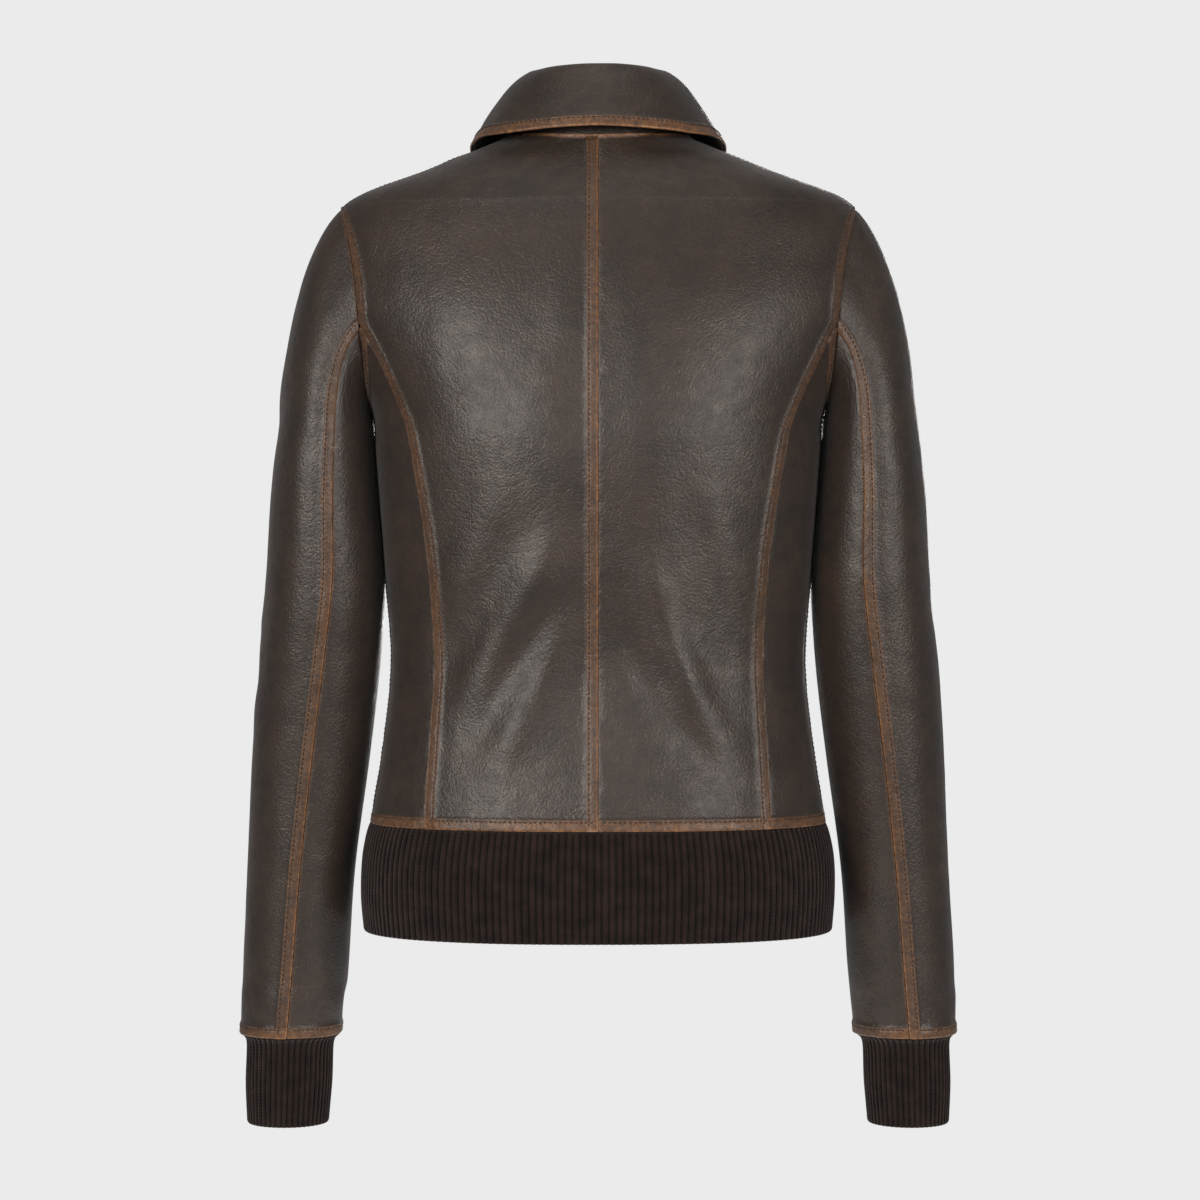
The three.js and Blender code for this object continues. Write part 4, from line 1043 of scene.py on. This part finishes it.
def loop_point(s, w):
    s, w = np.broadcast_arrays(np.asarray(s, float), np.asarray(w, float))
    rise = 1 - s * s
    x = LOOP_HALF_SPAN * s
    y = loop_end[1] + LOOP_THICKNESS + 0.6 + LOOP_REACH * rise
    return np.stack([x, y, loop_end[2] + loop_offset + LOOP_RISE * rise + (w - 0.5) * LOOP_WIDTH], -1)


plain_leather("hanger_loop", loop_point, (0, 1), -1, 1, 0, LOOP_THICKNESS, step=2)

# ---------------------------------------------------------------- waistband and cuffs

TAB_WIDTH = 26


def tab_edge(v, x):
    return angle_at(WAISTBAND, x, v)


def waistband_upward(angle, v):
    return waistband_point(angle, 3 - v)


waistband_tab = Cut(waistband_upward, 0.01, 2.97, lambda v: tab_edge(3 - v, ZIP_EDGE + TAB_WIDTH),
                    lambda v: tab_edge(3 - v, ZIP_EDGE + 0.2))
for side in SIDES:
    flip = side == "left"
    mine = waistband_tab.mirrored() if flip else waistband_tab
    lie = 0.3 * waves(mine.points, (26, 26, 26), 41)
    bands = {"start": "raised", "stop": "raised", "bottom": "raised", "top": "sunk"}
    piece = leather_panel(f"waistband_tab_leather_{side}", mine, lie, bands, body_sewing, flip,
                          top=1.7, thickness=1.7)
    finish_piece(piece, "leather", leather, "body", f"waistband_tab_{side}")


def v_rows(rows):
    folded_edge = [2.87, 2.93, 2.97, 2.99, 3.0]
    return np.concatenate([np.linspace(0, 0.35, 5)[:-1], np.linspace(0.35, 2.8, rows), folded_edge])


def spread(u, low, high, v):
    """Moves the ribs so that both ends of the band stay beside the straight edges of its tabs."""
    end = tab_edge(v, ZIP_EDGE + TAB_WIDTH + 0.2)
    return (u - low) / (high - low) * (math.pi + 2 * end) - math.pi - end


def ribbed(surface, low, high, outward, pitch, steps, rows, outer, closed, tuck):
    """Rib knit as real ribs: rounded on top and at its folded edge, tucked in where it is sewn on."""
    fine = np.linspace(low, high, 6000)
    line = surface(fine, 0 * fine + 1.5)
    run = np.concatenate([[0], np.cumsum(np.linalg.norm(np.diff(line, axis=0), axis=1))])
    ribs = int(round(run[-1] / pitch))
    places = np.linspace(0, run[-1], ribs * steps + 1)
    if closed:
        places = places[:-1]
    u = np.interp(places, run, fine)[None, :]
    if not closed:
        u = spread(u, low, high, v_rows(rows)[:, None])
    v = v_rows(rows)[:, None]
    points = surface(u, v)
    directions = normals(surface, u + 0 * v, v + 0 * u) * outward
    drop = np.cumsum(np.linalg.norm(np.diff(points, axis=0), axis=2), axis=0)
    down = np.concatenate([np.zeros((1, points.shape[1])), drop])
    turn = ribs * places / run[-1]
    off_crest = np.abs(2 * (turn - np.round(turn)))[None, :] + 0 * v
    # crest is 1 on a rib's top and 0 in its valley; the wool's colour uses it for painted light on the crests
    # and painted shade in the valleys.
    crest = 1 - off_crest**2
    lie = 0.45 * waves(points, (60, 60, 34), 51) - tuck * np.exp(-down / 4)
    height = outer - 1.9 * (1 - np.sqrt(1 - 0.98 * off_crest**2)) + lie
    depth = outer - RIB + lie
    left = down[-1:] - down
    round_off = np.sqrt(np.clip(1 - (1 - np.clip(left / 2.4, 0, 1)) ** 2, 0.02, 1))
    middle = (height + depth) / 2
    height = middle + (height - middle) * round_off
    depth = middle + (depth - middle) * round_off
    lengths = np.stack([(places[None, :] + 0 * v).ravel() * MM, down.ravel() * MM], -1)
    flat = (run[-1] * MM, float(down[-1].max()) * MM)
    return points, directions, (height, depth), {"rib": crest}, lengths, flat


tab_angle = float(tab_edge(np.array(1.5), ZIP_EDGE + TAB_WIDTH + 0.5))
points, directions, faces, crest_light_and_shade, lengths, flat = ribbed(
    waistband_point, -math.pi - tab_angle, tab_angle, -1, BAND_PITCH, 6, 26, 2.4, False, 1.6)
piece = sheet_object("waistband_rib_knit", points, directions, *faces, True, crest_light_and_shade, lengths)
finish_piece(piece, "rib_knit", waistband_wool, "body", "waistband_rib")

points, directions, faces, crest_light_and_shade, lengths, flat = ribbed(
    cuff_point, 0, 2 * math.pi, 1, CUFF_PITCH, 8, 24, 0.1, True, 0.6)
for side in SIDES:
    mirror = np.array([-1 if side == "left" else 1, 1, 1])
    piece = sheet_object("cuff_rib_knit_" + side, points * mirror, directions * mirror, *faces,
                         side == "left", crest_light_and_shade, lengths, wrap=True)
    finish_piece(piece, "rib_knit", cuff_wool, "sleeve_" + side, "cuff_rib_" + side)

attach(body_sewing.make("body_stitches"), "body")

# ---------------------------------------------------------------- zips

ZIP_TOP = -75.0
ZIP_DOWN = np.array([0, FRONT_SLOPE, -1.0]) / math.hypot(1, FRONT_SLOPE)
ZIP_OUT = np.array([0, 1.0, FRONT_SLOPE]) / math.hypot(1, FRONT_SLOPE)
ACROSS = np.array([1.0, 0, 0])
ZIP_START = np.array([0, float(centre_front(np.array(ZIP_TOP))), ZIP_TOP])
TOOTH_PITCH = 3.0
TOOTH = (4.3, 2.1, 2.0)  # across, through and along the chain


def zip_tooth():
    """One cast tooth: a bevelled block whose head narrows towards the chain's middle."""
    bpy.ops.object.select_all(action="DESELECT")
    bpy.ops.mesh.primitive_cube_add(size=1, location=(0, 0, 0))
    tooth = bpy.context.object
    tooth.scale = TOOTH
    bpy.ops.object.transform_apply(location=False, rotation=False, scale=True)
    bpy.ops.object.mode_set(mode="EDIT")
    bpy.ops.mesh.select_all(action="SELECT")
    bpy.ops.mesh.bevel(offset=0.32, segments=1, affect="EDGES")
    bpy.ops.object.mode_set(mode="OBJECT")
    for vertex in tooth.data.vertices:
        if vertex.co.x < -1.5:
            vertex.co.z *= 0.72
            vertex.co.y *= 0.86
    shape = np.array([v.co[:] for v in tooth.data.vertices])
    faces = [list(p.vertices) for p in tooth.data.polygons]
    bpy.data.objects.remove(tooth)
    return shape, faces


def chain_ends(side):
    low, high = (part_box("zip_teeth_" + side)[k][2] / MM - PATTERN[2] for k in (0, 1))
    return low, high


tooth_shape, tooth_faces = zip_tooth()
for side in SIDES:
    low, high = chain_ends(side)
    sign = -1 if side == "left" else 1
    first = (ZIP_TOP - high) + 1.4 + (TOOTH_PITCH / 2 if side == "left" else 0)
    count = int((high - low - 1.6) / TOOTH_PITCH)
    vertices, faces = [], []
    for number in range(count):
        local = tooth_shape * np.array([sign, 1, 1]) + np.array([sign * 1.75, -0.45, 0])
        along = first + number * TOOTH_PITCH - local[:, 2]
        aside = local[:, :1] * ACROSS + local[:, 1:2] * ZIP_OUT
        vertices.append(ZIP_START + aside + along[:, None] * ZIP_DOWN)
        turned = tooth_faces if sign > 0 else [face[::-1] for face in tooth_faces]
        faces += [[i + number * len(tooth_shape) for i in face] for face in turned]
    teeth = mesh_object("zip_teeth_cast_" + side, np.concatenate(vertices), faces)
    teeth.data.polygons.foreach_set("use_smooth", [False] * len(teeth.data.polygons))
    finish_piece(teeth, "zip_metal", brass, "body", "zip_teeth_" + side)


def tape_edge(side):
    """The beaded inner edge of the zip tape, close behind the teeth."""
    sign = -1 if side == "left" else 1
    low, high = chain_ends(side)
    along = np.linspace(ZIP_TOP - high, ZIP_TOP - low, 240)[:, None]
    across = sign * np.linspace(0.12, 2.5, 7)[None, :]
    bead = -1.75 + 0 * along - 0.1 * (np.abs(across) - 0.9) ** 2
    points = ZIP_START + across[..., None] * ACROSS + bead[..., None] * ZIP_OUT + along[..., None] * ZIP_DOWN
    directions = np.broadcast_to(ZIP_OUT, points.shape)
    height = 0 * points[..., 0]
    return sheet_object("zip_tape_edge_" + side, points, directions, height, height - 0.45, sign < 0)


for side in SIDES:
    finish_piece(tape_edge(side), "zip_tape", tape_cloth, "body")

# ---------------------------------------------------------------- pocket welts

POCKET_OUT, POCKET_ABOVE_HEM = 92, 92
WELT_SIZE, SLOT_SIZE = (22, 150), (8.4, 130)
WELT_STEPS = 220


def onto_front(x, z):
    """The point of the front's form at this x, at about this height, on the wearer's right."""
    v = np.interp(z, through(BODY["z"], LEVELS), LEVELS)
    return body_point(angle_at(BODY, x, v), v)


def welt_outline(width, height, count):
    """Evenly numbered points round a rectangle with rounded corners, starting at its middle right."""
    turn = np.linspace(0, 2 * math.pi, count, endpoint=False)
    fine = np.linspace(0, 2 * math.pi, 4000)
    square = 2 / 9
    px = (width / 2) * rounded(np.cos(fine), square)
    pz = (height / 2) * rounded(np.sin(fine), square)
    run = np.concatenate([[0], np.cumsum(np.hypot(np.diff(px), np.diff(pz)))])
    at = turn / (2 * math.pi) * run[-1]
    return np.interp(at, run, px), np.interp(at, run, pz)


def pocket_welt(side):
    """A leather frame round the pocket's zip: flat at its slot, its outer edge down on the panel."""
    motion = {joint["name"]: np.array(joint["axis"]) for joint in frame["joints"]}
    across_way, up_way = motion["pocket_right_pull_swing"], -motion["pocket_right_slide"]
    out_way = np.cross(up_way, across_way)
    level = np.interp(HEM_Z + POCKET_ABOVE_HEM, through(BODY["z"], LEVELS), LEVELS)
    middle = body_point(angle_at(BODY, POCKET_OUT, np.array(level)), np.array(level))
    block = frame["nodes"]["pocket_welt_right"].data
    corners = np.array([v.co[:] for v in block.vertices]) / MM - PATTERN
    face = float(((corners - middle) @ out_way).max())
    outer_x, outer_z = welt_outline(*WELT_SIZE, WELT_STEPS)
    inner_x, inner_z = welt_outline(*SLOT_SIZE, WELT_STEPS)
    shares = np.array([0, 0.04, 0.12, 0.24, 0.34, 0.46, 0.58, 0.7, 0.82, 0.92, 1])[:, None]
    sewn_down = smooth(0.25, 0.95, shares)[..., None]
    swell = np.array([-0.5, -0.12, 0, -0.05, -0.35, -0.1, 0.2, 0.35, 0.2, 0, -0.5])[:, None]
    across, up = mix(inner_x, outer_x, shares), mix(inner_z, outer_z, shares)
    flat = middle + across[..., None] * across_way + up[..., None] * up_way + out_way * face
    lying = onto_front(flat[..., 0], flat[..., 2])
    mirror = np.array([-1 if side == "left" else 1, 1, 1])
    lying = lying + out_way * (np.maximum(body_folds(lying * mirror), 0) + 1.7)[..., None]
    outer = (mix(flat, lying, sewn_down) + out_way * swell[..., None]) * mirror
    directions = np.broadcast_to(out_way * mirror, outer.shape)
    edges = [np.exp(-(((shares - place) / 0.08) ** 2)) for place in (0.04, 0.96)]
    rub = np.maximum(*edges) + 0 * across
    height = 0 * across
    underside = height - 1.3 + 0.4 * (shares > 0.9)
    return sheet_object("pocket_welt_leather_" + side, outer, directions, height, underside, side == "left",
                        {"rub": rub}, wrap=True)


for side in SIDES:
    finish_piece(pocket_welt(side), "rubbed_leather", cut_leather, "body", "pocket_welt_" + side)

# ---------------------------------------------------------------- pieces kept from the frame

for name, node in frame["nodes"].items():
    if node.hide_render:
        continue
    if "tape" in name:
        finish = tape_cloth
    elif "bag" in name:
        finish = bag_cloth
    else:
        finish = brass
    node.data.materials.clear()
    node.data.materials.append(finish)

# ---------------------------------------------------------------- studio

scene = bpy.context.scene
scene.view_settings.view_transform = "Standard"
world = bpy.data.worlds.new("studio")
world.use_nodes = True
scene.world = world
surround = world.node_tree.nodes["Background"]
surround.inputs["Color"].default_value = hex_colour("#ebebeb")
rays = world.node_tree.nodes.new("ShaderNodeLightPath")
strength = world.node_tree.nodes.new("ShaderNodeMapRange")
strength.inputs["To Min"].default_value = 0.2
strength.inputs["To Max"].default_value = 1.0
world.node_tree.links.new(rays.outputs["Is Camera Ray"], strength.inputs["Value"])
world.node_tree.links.new(strength.outputs[0], surround.inputs["Strength"])


def softbox(name, place, size, power):
    lamp = bpy.data.lights.new(name, "AREA")
    lamp.shape = "DISK"
    lamp.size = size
    lamp.energy = power
    lamp.color = (1.0, 0.955, 0.91)
    holder = bpy.data.objects.new(name, lamp)
    scene.collection.objects.link(holder)
    holder.location = place
    aim = np.array([0, AXIS_Y * MM, -0.3]) - np.array(place)
    holder.rotation_euler = Vector(aim.tolist()).to_track_quat("-Z", "Y").to_euler()


softbox("left_softbox", (-1.25, -2.1, 0.25), 1.1, 46)
softbox("right_softbox", (1.5, -2.0, 0.05), 1.1, 34)
softbox("top_softbox", (0.0, -0.6, 1.7), 1.4, 7)
softbox("front_softbox", (0.35, 2.6, 0.1), 1.2, 30)

bpy.ops.object.select_all(action="DESELECT")
FLOOR_Z = cad_bounds[0][2] - 0.35
bpy.ops.mesh.primitive_circle_add(vertices=96, radius=2.2, fill_type="NGON",
                                  location=(0, AXIS_Y * MM, FLOOR_Z))
floor = bpy.context.object
floor.name = "pale_floor"
floor_paint = blank("matt_white_floor_paint")
spot = add(floor_paint, "TexCoord")
radius = add(floor_paint, "VectorMath", {0: spot.outputs["Object"]}, operation="LENGTH")
fade = add(floor_paint, "MapRange", {"Value": radius.outputs["Value"], "From Min": 0.3, "From Max": 1.7},
           interpolation_type="SMOOTHSTEP")
paint = add(floor_paint, "BsdfPrincipled", {"Base Color": hex_colour("#e4e4e4"), "Roughness": 0.9,
            "Emission Color": hex_colour("#ffffff"), "Emission Strength": 0.42})
clear = add(floor_paint, "BsdfTransparent")
faded = add(floor_paint, "MixShader",
            {0: fade.outputs[0], 1: paint.outputs["BSDF"], 2: clear.outputs["BSDF"]})
add(floor_paint, "OutputMaterial", {"Surface": faded.outputs["Shader"]})
floor.data.materials.append(floor_paint)

view = bpy.data.cameras.new("camera")
view.lens = 95.8
camera = bpy.data.objects.new("camera", view)
scene.collection.objects.link(camera)
camera.location = (0.0014, AXIS_Y * MM - 2.3, (NECK_Z - 326) * MM)
camera.rotation_euler = (math.radians(90), 0, 0)
scene.camera = camera
